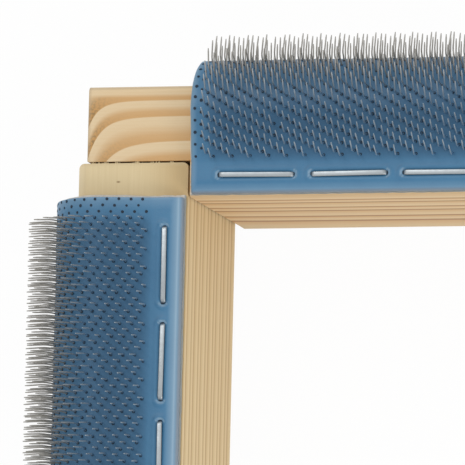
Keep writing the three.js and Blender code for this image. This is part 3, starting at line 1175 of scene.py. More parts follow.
@dataclass
class CornerScrews:
    """Two countersunk screws in each corner, driven through the long bars.

    Args:
        measures: The frame's sizes.
        length: Whole length.
        radius: Shank radius.
        head_radius: Head radius.
        head_height: Height of the countersunk head.
        tip_length: Length of the pointed end.
        inset: Distance of a screw from the side bar's upper and lower faces.
        sink: How far the head sits below the wood.
        clearance: Room round the screw in its hole.
        facets: Facets round the screw.
        recess_width: Width of the driver's cross.
        recess_depth: Depth of the driver's cross.
        recess_reach: Length of its arms, in head radii.
        recess_pinch: How much narrower it is at its bottom.
        rim: Height of the head's rounded rim.
        rim_inset: How far the head's flat top lies within its rim.
        thread_turns: Turns of the thread.
        thread_end: Distance of the thread's end from the head, as a share of the length.
        flanks: Where a turn's root and crest are, as shares of the turn.
        shares: Radius of the tip's end, the thread's root and the neck, in shank radii.
        above: How far a hole's cutter goes on above the wood.
    """

    measures: FrameMeasures
    length: float = 42.0
    radius: float = 2.0
    head_radius: float = 4.0
    head_height: float = 2.6
    tip_length: float = 7.0
    inset: float = 8.0
    sink: float = 0.3
    clearance: float = 0.3
    facets: int = 32
    recess_width: float = 0.9
    recess_depth: float = 1.7
    recess_reach: float = 1.15
    recess_pinch: float = 0.45
    rim: float = 0.25
    rim_inset: float = 0.15
    thread_turns: int = 14
    thread_end: float = 0.36
    flanks: Pair = (0.3, 0.75)
    shares: Triple = (0.9, 0.72, 0.8)
    above: float = 1.5

    def lathe(self, profile: Sequence[Pair]) -> bmesh.types.BMesh:
        """Turns a profile round the local Y axis, head outwards.

        Args:
            profile: Radius and height pairs from the tip to the head.

        Returns:
            The closed mesh.
        """
        sketch = bmesh.new()
        rings = []
        for radius, height in profile:
            if radius == 0:
                rings.append([sketch.verts.new((0, height, 0))])
                continue
            angles = [2 * math.pi * i / self.facets for i in range(self.facets)]
            spots = [(radius * math.cos(angle), height, radius * math.sin(angle)) for angle in angles]
            rings.append([sketch.verts.new(spot) for spot in spots])
        for low, high in zip(rings, rings[1:]):
            for i in range(self.facets):
                j = (i + 1) % self.facets
                corners = [low[i % len(low)], low[j % len(low)], high[j % len(high)], high[i % len(high)]]
                sketch.faces.new(list(dict.fromkeys(corners)))
        bmesh.ops.recalc_face_normals(sketch, faces=sketch.faces)
        return sketch

    def places(self, side: Side) -> list[Vector]:
        """Where the heads of one long bar's screws are, in the bar's own millimetres."""
        across = self.measures.window_length / 2 + self.measures.thickness / 2
        levels = (-self.inset, self.inset - self.measures.side_depth)
        face = self.measures.thickness - self.sink
        return [Vector((end * across, face, level)) for end in (-1, 1) for level in levels]

    def hole_cutter(self) -> Piece:
        """Makes the body that cuts every screw's hole.

        Returns:
            An object in metres, to be removed after use.
        """
        room = self.clearance
        profile = [
            (0, -self.length - room), (self.radius + room, self.tip_length - self.length - room),
            (self.radius + room, -self.head_height - room), (self.head_radius + room, 0),
            (self.head_radius + room, self.above), (0, self.above),
        ]
        joined = bmesh.new()
        for side in (Side.REAR, Side.FRONT):
            for place in self.places(side):
                hole = self.lathe(profile)
                bmesh.ops.transform(
                    hole, matrix=self.measures.seat(side) @ Matrix.Translation(place), verts=hole.verts,
                )
                mesh = finished(hole)
                joined.from_mesh(mesh)
                bpy.data.meshes.remove(mesh)
        return make_object("screw_holes", finished(joined))

    def screw(self) -> Piece:
        """Makes one screw with its driver recess, head at the origin.

        Returns:
            An object in local millimetres.
        """
        tip, root, neck = (self.radius * share for share in self.shares)
        start, end = self.tip_length - self.length, -self.length * self.thread_end
        profile = [(0, -self.length), (tip, start)]
        for i in range(self.thread_turns):
            low, high = (start + (end - start) * (i + share) / self.thread_turns for share in self.flanks)
            profile += [(root, low), (self.radius, high)]
        profile += [
            (neck, end + 1.0), (neck, -self.head_height), (self.head_radius - 0.1, -self.rim),
            (self.head_radius, -self.rim * 0.6), (self.head_radius, -self.rim * 0.2),
            (self.head_radius - self.rim_inset, 0), (0, 0),
        ]
        screw = make_object("screw_pattern", finished(self.lathe(profile)))
        cross = bmesh.new()
        arms = (self.head_radius * self.recess_reach, self.recess_width)
        for wide, tall in (arms, arms[::-1]):
            arm = bmesh.ops.create_cube(cross, size=1.0)["verts"]
            for corner in arm:
                pinch = 1.0 if corner.co.y > 0 else self.recess_pinch
                corner.co = Vector((
                    corner.co.x * wide * pinch,
                    self.recess_depth * 0.5 if corner.co.y > 0 else -self.recess_depth,
                    corner.co.z * tall * pinch,
                ))
        cut_away(screw, make_object("recess", finished(cross)), crossing=True)
        shade_smooth(screw.data, angle=30)
        return screw

    def build(self) -> None:
        """Sets the screws of both long bars, one piece a bar."""
        pattern = self.screw()
        material = ZINC.material()
        for side in (Side.REAR, Side.FRONT):
            spots = [f"{end}_{level}" for end in ("left", "right") for level in ("upper", "lower")]
            nodes = [f"{side.label}_{spot}_screw" for spot in spots]
            places = point_mesh(self.places(side), (0.0, 1.0, 0.0))
            set_repeats(f"{side.label}_corner_screws", places, screw_tree(), {
                "Screw": pattern, "Turn": math.pi, "Seed": Seed.SCREW_TURNS.on(side), "Material": material,
            }, self.measures.seat(side), nodes)
        bpy.data.objects.remove(pattern)


# Repeats: trees that set a shape on every point of a mesh


def add_vectors(mesh: Mesh, name: str, rows: Sequence[Sequence[float]]) -> None:
    """Writes one vector a vertex as a named attribute."""
    attribute = mesh.attributes.new(name, "FLOAT_VECTOR", "POINT")
    attribute.data.foreach_set("vector", np.asarray(rows, dtype=np.float32).ravel())


def add_values(mesh: Mesh, name: str, values: Array) -> None:
    """Writes one number a vertex as a named attribute."""
    attribute = mesh.attributes.new(name, "FLOAT", "POINT")
    attribute.data.foreach_set("value", np.asarray(values, dtype=np.float32).ravel())


def point_mesh(
    places: Sequence[Sequence[float]], outward: Sequence[object],
    along: Triple = (1.0, 0.0, 0.0),
) -> Mesh:
    """Makes a mesh of bare points with the directions that the shapes on them take.

    Args:
        places: One row a point.
        outward: Where each shape's own Z goes, one vector for all or one a point.
        along: Where every shape's own X goes.

    Returns:
        The mesh.
    """
    mesh = bpy.data.meshes.new("places")
    mesh.from_pydata([tuple(place) for place in places], [], [])
    add_vectors(mesh, "outward", np.broadcast_to(outward, (len(places), 3)))
    add_vectors(mesh, "along", np.broadcast_to(along, (len(places), 3)))
    return mesh


def add_mask(mesh: Mesh, name: str, grid: Array) -> None:
    """Writes a mask, stations by points across, on the outer surface only of a swept sheet."""
    add_values(mesh, name, np.concatenate([grid, np.zeros_like(grid)], axis=1))


def run_tree(piece: Piece, tree: Tree, values: dict[str, object]) -> None:
    """Runs a geometry tree on an object and keeps the result as its mesh.

    Args:
        piece: The object, whose mesh holds the points.
        tree: The tree.
        values: Its inputs by name.
    """
    modifier = piece.modifiers.new("repeat", "NODES")
    modifier.node_group = tree
    for item in tree.interface.items_tree:
        if item.item_type == "SOCKET" and item.in_out == "INPUT" and item.name in values:
            modifier[item.identifier] = values[item.name]
    bake_modifiers(piece)


def set_repeats(
    name: str, points: Mesh, tree: Tree, values: dict[str, object],
    seat: Matrix, nodes: Iterable[str] = (), smooth_angle: float | None = None,
) -> None:
    """Sets a tree's shape on every point of a mesh and hands the piece over.

    Args:
        name: The piece's name.
        points: The points, in a bar's own millimetres.
        tree: The tree that draws and sets the shape.
        values: Its inputs by name.
        seat: The bar's placing.
        nodes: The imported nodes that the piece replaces.
        smooth_angle: Sharpest edge that is shaded smooth, in degrees, or none.
    """
    piece = make_object(name, points)
    run_tree(piece, tree, values)
    piece.data.transform(seat)
    if smooth_angle is not None:
        shade_smooth(piece.data, smooth_angle)
    hand_over(piece, nodes)


def geometry_tree(
    name: str,
    inputs: dict[str, str],
    draw: Callable[[NodeSketch, Sockets], Drawn],
) -> Tree:
    """Makes a tree that puts a shape on every point, or returns the one that is there.

    Args:
        name: The tree's name.
        inputs: Socket types by input name, apart from the geometry and the material.
        draw: Draws the shape and returns its mesh, turn and size.

    Returns:
        The tree.
    """
    tree = bpy.data.node_groups.get(name)
    if tree is not None:
        return tree
    sockets = {"Geometry": "NodeSocketGeometry", **inputs, "Material": "NodeSocketMaterial"}
    tree = new_group(name, sockets, {"Geometry": "NodeSocketGeometry"}, "GeometryNodeTree")
    sketch = NodeSketch(tree)
    given = sketch.add("NodeGroupInput").outputs
    shape, turn, size = draw(sketch, given)
    outward = sketch.add("GeometryNodeInputNamedAttribute", {"Name": "outward"}, data_type="FLOAT_VECTOR")
    along = sketch.add("GeometryNodeInputNamedAttribute", {"Name": "along"}, data_type="FLOAT_VECTOR")
    stand = sketch.add("FunctionNodeAxesToRotation", primary_axis="Z", secondary_axis="X")
    sketch.fill(stand.inputs[0], sketch.socket(outward.outputs, "Attribute"))
    sketch.fill(stand.inputs[1], sketch.socket(along.outputs, "Attribute"))
    turned = sketch.add(
        "FunctionNodeRotateRotation",
        {"Rotation": stand.outputs[0], "Rotate By": turn},
        rotation_space="LOCAL",
    )
    placed = sketch.add("GeometryNodeInstanceOnPoints", {
        "Points": given["Geometry"], "Instance": shape,
        "Rotation": turned.outputs[0], "Scale": size,
    })
    real = sketch.add("GeometryNodeRealizeInstances", {"Geometry": placed.outputs["Instances"]})
    dressed = sketch.add(
        "GeometryNodeSetMaterial",
        {"Geometry": real.outputs["Geometry"], "Material": given["Material"]},
    )
    sketch.add("NodeGroupOutput", {"Geometry": dressed.outputs["Geometry"]})
    return tree


def random_turn(sketch: NodeSketch, spread: object, seed: object) -> Socket:
    """Draws a small random turn for each point.

    Args:
        sketch: The tree's sketch.
        spread: The largest turn about each axis, a vector of radians.
        seed: The seed.

    Returns:
        The turn's socket.
    """
    least = sketch.vector_math("SCALE", spread)
    sketch.fill(sketch.socket(least.inputs, "Scale"), -1.0)
    dice = sketch.add(
        "FunctionNodeRandomValue",
        {"Min": least.outputs["Vector"], "Max": spread, "Seed": seed},
        data_type="FLOAT_VECTOR",
    )
    turn = sketch.add("FunctionNodeEulerToRotation")
    sketch.fill(turn.inputs[0], sketch.socket(dice.outputs, "Value"))
    return turn.outputs[0]


def random_size(sketch: NodeSketch, spread: object, seed: object) -> Socket:
    """Draws a size near 1 for each point, the same along all three axes.

    Args:
        sketch: The tree's sketch.
        spread: The largest difference from 1.
        seed: The seed.

    Returns:
        The size's socket.
    """
    least = sketch.math("SUBTRACT", 1.0, spread)
    most = sketch.math("ADD", 1.0, spread)
    dice = sketch.add("FunctionNodeRandomValue", {"Min": least, "Max": most, "Seed": seed}, data_type="FLOAT")
    return sketch.socket(dice.outputs, "Value")


def poly_line(sketch: NodeSketch, corners: Sequence[object]) -> Socket:
    """Draws a line from corner to corner.

    Args:
        sketch: The tree's sketch.
        corners: The corners' places, as sockets or vectors.

    Returns:
        The curve's socket.
    """
    choose = sketch.add("GeometryNodeIndexSwitch", data_type="VECTOR")
    while len(choose.index_switch_items) < len(corners):
        choose.index_switch_items.new()
    sketch.fill(sketch.socket(choose.inputs, "Index"), sketch.add("GeometryNodeInputIndex").outputs[0])
    for i, corner in enumerate(corners):
        sketch.fill(sketch.socket(choose.inputs, str(i)), corner)
    row = sketch.add("GeometryNodeMeshLine", {"Count": len(corners)})
    bent = sketch.add(
        "GeometryNodeSetPosition",
        {"Geometry": row.outputs["Mesh"], "Position": sketch.socket(choose.outputs, "Output")},
    )
    return sketch.add("GeometryNodeMeshToCurve", {"Mesh": bent.outputs["Geometry"]}).outputs["Curve"]


def pin_tree() -> Tree:
    """The tree of the wire pins: a round wire, bent at its knee, on every point."""
    inputs = {
        **{stop: VECTOR for stop in WIRE_STOPS}, "Wire Radius": VALUE, "Wire Sides": WHOLE,
        "Root End": VALUE, "Taper Start": VALUE, "Tip Share": VALUE, "Turn Spread": VECTOR,
        "Length Spread": VALUE, "Seed": WHOLE,
    }

    def draw(sketch: NodeSketch, given: Sockets) -> Drawn:
        """Draws the bent wire, ground thinner at its tip."""
        line = poly_line(sketch, [given[stop] for stop in WIRE_STOPS])
        ring = sketch.add("GeometryNodeCurvePrimitiveCircle", {
            "Resolution": given["Wire Sides"], "Radius": given["Wire Radius"],
        })
        place = sketch.add("GeometryNodeSplineParameter").outputs["Factor"]
        thin = sketch.span(place, given["Taper Start"], 1.0, 1.0, given["Tip Share"])
        # Marks the pin's foot for a painted blue reflection of the rubber
        root_end = given["Root End"]
        root = sketch.span(place, root_end, sketch.product(root_end, ROOT_FADE), 1.0, 0.0)
        marked = sketch.add("GeometryNodeStoreNamedAttribute", {
            "Geometry": line, "Name": ROOT_REFLECTION, "Value": root,
        }, data_type="FLOAT", domain="POINT")
        wire = sketch.add("GeometryNodeCurveToMesh", {
            "Curve": marked.outputs["Geometry"], "Profile Curve": ring.outputs["Curve"],
            "Scale": thin, "Fill Caps": True,
        })
        turn = random_turn(sketch, given["Turn Spread"], given["Seed"])
        size = random_size(sketch, given["Length Spread"], given["Seed"])
        return wire.outputs["Mesh"], turn, size

    return geometry_tree("Wire pins", inputs, draw)


def peg_tree(pointed: bool) -> Tree:
    """The tree that sets a small peg on every point.

    Args:
        pointed: Whether it ends in a point, as a torn fibre does, or is a dark plug that paints the shade in
            a hole.

    Returns:
        The tree.
    """
    kind = "Cone" if pointed else "Cylinder"
    inputs = {
        "Radius": VALUE, "Height": VALUE, "Sides": WHOLE, "Turn Spread": VECTOR,
        "Size Spread": VALUE, "Seed": WHOLE,
    }

    def draw(sketch: NodeSketch, given: Sockets) -> Drawn:
        """Draws the peg."""
        radii = {"Radius Bottom" if pointed else "Radius": given["Radius"]}
        if pointed:
            radii["Radius Top"] = 0.0
        sizes = {"Vertices": given["Sides"], "Depth": given["Height"], **radii}
        peg = sketch.add(f"GeometryNodeMesh{kind}", sizes)
        turn = random_turn(sketch, given["Turn Spread"], given["Seed"])
        size = random_size(sketch, given["Size Spread"], given["Seed"])
        return peg.outputs["Mesh"], turn, size

    return geometry_tree(f"{kind} pegs", inputs, draw)


def screw_tree() -> Tree:
    """The tree that sets a screw, turned at random about its axis, on every point."""
    inputs = {"Screw": "NodeSocketObject", "Turn": VALUE, "Seed": WHOLE}

    def draw(sketch: NodeSketch, given: Sockets) -> Drawn:
        """Fetches the screw and stands its head outwards."""
        info = sketch.add("GeometryNodeObjectInfo", {"Object": given["Screw"]})
        upright = sketch.add(
            "GeometryNodeTransform",
            {"Geometry": info.outputs["Geometry"], "Rotation": Euler((math.pi / 2, 0.0, 0.0))},
        )
        spread = sketch.add("ShaderNodeCombineXYZ", {"Z": given["Turn"]})
        turn = random_turn(sketch, spread.outputs[0], given["Seed"])
        return upright.outputs["Geometry"], turn, (1.0, 1.0, 1.0)

    return geometry_tree("Corner screws", inputs, draw)


def staple_tree() -> Tree:
    """The tree of the staples: a flat wire crown with two legs on every point."""
    inputs = {
        "Crown": VALUE, "Leg": VALUE, "Wire Width": VALUE, "Wire Thickness": VALUE,
        "Corner Radius": VALUE, "Turn Spread": VECTOR, "Seed": WHOLE,
    }

    def draw(sketch: NodeSketch, given: Sockets) -> Drawn:
        """Bends the flat wire and gives it its rounded section."""
        half = sketch.product(given["Crown"], 0.5)
        minus = sketch.product(half, -1.0)
        down = sketch.product(given["Leg"], -1.0)
        corners = [(minus, down), (minus, 0.0), (half, 0.0), (half, down)]
        places = [sketch.add("ShaderNodeCombineXYZ", {"X": x, "Z": z}).outputs[0] for x, z in corners]
        path = poly_line(sketch, places)
        upright = sketch.add("GeometryNodeSetCurveNormal", {"Curve": path}, mode="FREE")
        sketch.fill(sketch.socket(upright.inputs, "Normal"), (0.0, 1.0, 0.0))
        eased = sketch.add("GeometryNodeFilletCurve", {
            "Curve": upright.outputs["Curve"], "Count": 4, "Radius": given["Corner Radius"],
            "Limit Radius": True,
        }, mode="POLY")
        section = sketch.add("GeometryNodeCurvePrimitiveQuadrilateral", {
            "Width": given["Wire Width"], "Height": given["Wire Thickness"],
        })
        soft = sketch.add("GeometryNodeFilletCurve", {
            "Curve": section.outputs["Curve"], "Count": 3,
            "Radius": sketch.product(given["Wire Thickness"], 0.3),
        }, mode="POLY")
        wire = sketch.add("GeometryNodeCurveToMesh", {
            "Curve": eased.outputs["Curve"], "Profile Curve": soft.outputs["Curve"], "Fill Caps": True,
        })
        turn = random_turn(sketch, given["Turn Spread"], given["Seed"])
        return wire.outputs["Mesh"], turn, (1.0, 1.0, 1.0)

    return geometry_tree("Staples", inputs, draw)


# Gripper strips

# Places across a strip from its inner edge, single ones or first, last and step
EDGE_PLACES = (0.0, 0.04, 0.1, 0.18, 0.3)
CROWN_RUN = (0.5, 5.0, 0.22)
RISE_PLACES = (5.15, 5.4, 5.6, 5.8, 6.1)
FIELD_RUN = (6.8, 13.5, 1.1)
TURN_RUN = (14.0, 26.0, 0.75)

# The same for its outer part, where the slope's last place and both of the hem's count from the outer edge
SLOPE_RUN = (26.6, 5.0, 1.1)
HEM_RUN = (4.4, 0.31, 0.42)

# Margins at both ends and step of the places along a strip
RUBBER_RUN = (1.2, 1.0, 1.6)
CLOTH_RUN = (1.0, 0.9, 1.0)

# Places at a strip's cut ends and round a staple's leg
CLOTH_END = 0.4
END_PLACES = (0.0, 0.05, 0.15, 0.3, 0.6)
LEG_PLACES = (-1.5, -1.15, -0.85, -0.6, -0.3, 0.0, 0.3, 0.6, 0.85, 1.15, 1.5)
LEAST_STEP = 0.12

# Masks of the rubber: distances in millimetres or shares of a width, and the strength there
# Painted highlight along the pressed-down inner edge
INNER_HIGHLIGHT_BAND = ((0.0, 0.2), (0.18, 0.3), (0.34, 0.66), (0.48, 0.36), (0.74, 0.22), (1.0, 0.0))
# Painted highlight on the rounded cut ends
END_HIGHLIGHT = ((0.0, 0.3), (0.5, 0.22), (0.9, 0.0))
# The rubber's cut inner edge: its grey-blue cut face with painted shade
CUT_EDGE = ((0.0, 0.7), (0.22, 0.45), (0.5, 0.0))
FIELD_FADE = (1.0, 1.6)
BARE_FADE = (1.0, 2.0)
# How much of the pins' painted shade stays at the strip's ends, where only holes are left
BARE_SHADE = 0.2

# Steps of the line that a strip follows
LINE_STEP = 0.1
BEND_STEPS = 60


def mask_at(distances: Array, stops: Sequence[Pair]) -> Array:
    """Reads a mask's strength at given distances from its stops."""
    return np.interp(distances, *zip(*stops))


def fade(values: Array, start: float, width: float) -> Array:
    """Rises evenly from 0 at the start to 1 a width further."""
    return np.clip((values - start) / width, 0, 1)


def run(first: float, last: float, margins: Triple) -> Array:
    """Evenly spaced places between two ends, by the margins there and the step."""
    return np.arange(first + margins[0], last - margins[1], margins[2])


@dataclass(frozen=True)
class StripLine:
    """The line across a bar that a strip's underside follows.

    It lies flat on the bar, rises, bends round the bar's outer edge clear of it, and comes
    back to lie on the bar's outer face.

    Args:
        thickness: The bar's thickness.
        edge_inset: How far the strip's edge is set back from the bar's inner face.
        flat_width: Width of the stretch that lies on the bar.
        bend_inset: Distance of the bend's centre from the bar's outer face.
        bend_drop: Depth of the bend's centre below the bar's top.
        bar_rounding: The bar's eased edge.
        standoff: Room between that edge and the bend.
        slope_height: Height of the stretch that comes back to the bar.
        hem_height: Height of the stretch that lies on the outer face.
        softness: Length over which the line's corners are eased.
    """

    thickness: float
    edge_inset: float = 0.3
    flat_width: float = 5.2
    bend_inset: float = 4.3
    bend_drop: float = 5.5
    bar_rounding: float = 1.0
    standoff: float = 0.3
    slope_height: float = 8.0
    hem_height: float = 5.0
    softness: float = 1.6

    def line(self) -> tuple[Array, Array]:
        """The line as close points with their outward normals.

        Returns:
            Points and normals, one row each, as outward and up.
        """
        centre = np.array([self.thickness - self.bend_inset, -self.bend_drop])
        edge = np.array([self.thickness - self.bar_rounding, -self.bar_rounding])
        radius = float(np.hypot(*(centre - edge))) + self.bar_rounding + self.standoff
        turn = np.linspace(math.pi / 2, 0, BEND_STEPS)
        bend = centre + radius * np.stack([np.cos(turn), np.sin(turn)], axis=1)
        foot = -self.bend_drop - self.slope_height
        corners = np.vstack([
            [[self.edge_inset, 0.0], [self.edge_inset + self.flat_width, 0.0]],
            bend,
            [[self.thickness, foot], [self.thickness, foot - self.hem_height]],
        ])
        steps = np.hypot(*np.diff(corners, axis=0).T)
        arc = np.concatenate([[0.0], np.cumsum(steps)])
        even = np.arange(0.0, arc[-1], LINE_STEP)
        points = np.stack([np.interp(even, arc, corners[:, axis]) for axis in (0, 1)], axis=1)
        half = int(self.softness / LINE_STEP / 2)
        first = 2 * points[0] - points[half:0:-1]
        last = 2 * points[-1] - points[-2:-half - 2:-1]
        padded = np.vstack([first, points, last])
        kernel = np.hanning(2 * half + 3)[1:-1]
        kernel /= kernel.sum()
        points = np.stack([np.convolve(padded[:, axis], kernel, "valid") for axis in (0, 1)], axis=1)
        tangent = np.gradient(points, axis=0)
        tangent /= np.hypot(*tangent.T)[:, None]
        normals = np.stack([-tangent[:, 1], tangent[:, 0]], axis=1)
        return points, normals

    def at(self, places: Array, lifts: Array | float) -> Array:
        """Points at places along the underside, lifted off it.

        Args:
            places: Distances along the underside from the strip's inner edge.
            lifts: Heights above the underside.

        Returns:
            One row a place, as outward and up.
        """
        points, normals = self.line()
        steps = np.arange(len(points)) * LINE_STEP
        base = np.stack([np.interp(places, steps, points[:, axis]) for axis in (0, 1)], axis=1)
        out = np.stack([np.interp(places, steps, normals[:, axis]) for axis in (0, 1)], axis=1)
        return base + out * np.reshape(np.broadcast_to(lifts, len(base)), (-1, 1))

    def length(self) -> float:
        """The underside's whole length."""
        return (len(self.line()[0]) - 1) * LINE_STEP

    def seat_at(self, place: float, lift: float) -> tuple[Array, Array]:
        """A point lifted off the underside and the normal there, as outward and up."""
        spot, above = self.at(np.array([place, place]), np.array([lift, lift + 1.0]))
        return spot, above - spot

    def roots(self, reach: Array, lift: float) -> tuple[Array, Array]:
        """Points and normals at distances measured along the lifted surface.

        Args:
            reach: Distances from the inner edge along that surface.
            lift: Its height above the underside.

        Returns:
            Points and normals, one row each.
        """
        points, normals = self.line()
        surface = points + normals * lift
        arc = np.concatenate([[0.0], np.cumsum(np.hypot(*np.diff(surface, axis=0).T))])
        spots = np.stack([np.interp(reach, arc, surface[:, axis]) for axis in (0, 1)], axis=1)
        return spots, np.stack([np.interp(reach, arc, normals[:, axis]) for axis in (0, 1)], axis=1)


@dataclass(frozen=True)
class StapleLayout:
    """The staples of a strip: their places and their wire.

    Args:
        crown: Length of a crown with the room that its legs have torn.
        end_margin: Distance of the first crown from the strip's end.
        window_pitch: Pitch along the window.
        hem_pitch: Pitch along the hem.
        unevenness: How far a staple lies off its place.
        inset: Distance of the crowns' middle from the strip's edge.
        tear: That room, at both ends together.
        leg: Length of a leg that is built.
        wire_width: Width of the flat wire.
        wire_thickness: Thickness of the flat wire.
        corner: Rounding of its corners.
        turns: Largest turns of a staple about its own axes, in radians.
        lift: Height of a crown's middle above the rubber.
        hole_outset: Distance of a leg's hole from the crown's end.
        hole_sink: Depth of that hole's middle below the rubber.
        hole_radius: Radius of that hole.
        hole_height: Height of the dark plug that paints the shade in that hole.
    """

    crown: float = 12.8
    end_margin: float = 5.25
    window_pitch: float = 15.5
    hem_pitch: float = 31.0
    unevenness: float = 0.25
    inset: float = 2.9
    tear: float = 0.5
    leg: float = 2.2
    wire_width: float = 0.85
    wire_thickness: float = 0.5
    corner: float = 0.5
    turns: Triple = (0.04, 0.0, 0.012)
    lift: float = 0.04
    hole_outset: float = 0.02
    hole_sink: float = 0.2
    hole_radius: float = 0.44
    hole_height: float = 0.12

    def middles(self, length: float, seat: Seat, side: Side) -> list[float]:
        """The crowns' middles along one strip.

        Args:
            length: The strip's length.
            seat: Which of its two lines.
            side: The strip's side.

        Returns:
            Places along the bar.
        """
        pitch = self.window_pitch if seat is Seat.WINDOW else self.hem_pitch
        room = length - 2 * self.end_margin - self.crown
        gaps = max(1, round(room / pitch))
        first = self.end_margin + self.crown / 2 - length / 2
        dice = np.random.default_rng(Seed.STAPLE_SHIFTS.on(side))
        places = [first + i * room / gaps for i in range(gaps + 1)]
        shifts = dice.uniform(-self.unevenness, self.unevenness, len(places))
        return [place + float(shift) for place, shift in zip(places, shifts)]


@dataclass(frozen=True)
class StapleSeat:
    """The rubber round a staple's crown, by its distance from the crown's line.

    Args:
        inset: How far the groove's straight part stops short of the crown's end.
        depth: Depth of the groove.
        spread: Its half width.
        swell_height: Height of the rubber that swells up round it.
        swell_place: Distance of that swelling.
        swell_width: Its width.
        side_share: How much of it there is along the crown.
        ring_share: Strength of the painted highlight on the rubber swelling round the legs.
        ring_place: Distance of that painted highlight ring.
        ring_width: Its width.
        fades: How far past the straight part the swelling and the ring are whole.
    """

    inset: float = 0.32
    depth: float = 0.24
    spread: float = 0.54
    swell_height: float = 0.2
    swell_place: float = 1.05
    swell_width: float = 0.26
    side_share: float = 0.35
    ring_share: float = 0.55
    ring_place: float = 0.68
    ring_width: float = 0.15
    fades: Pair = (0.5, 0.3)

    def press(self, past: Array, off: Array) -> tuple[Array, Array]:
        """Shapes the rubber round one crown and paints a highlight ring on its swelling at the legs.

        Args:
            past: How far each station lies past the crown's end.
            off: How far each point across lies off the crown's line.

        Returns:
            The change of height and the painted highlight ring, stations by points across.
        """
        past = np.clip(past + self.inset, 0, None)
        away = np.hypot(past[:, None], off[None, :])
        groove = self.depth * np.exp(-(away / self.spread) ** 4)
        whole = np.clip(past / self.fades[0], self.side_share, 1)[:, None]
        swelling = self.swell_height * whole * np.exp(-((away - self.swell_place) / self.swell_width) ** 2)
        # Painted highlight ring on the swelling round the legs
        ring = np.clip(past / self.fades[1], 0, 1)[:, None]
        ring = ring * np.exp(-((away - self.ring_place) / self.ring_width) ** 2)
        return swelling - groove, self.ring_share * ring


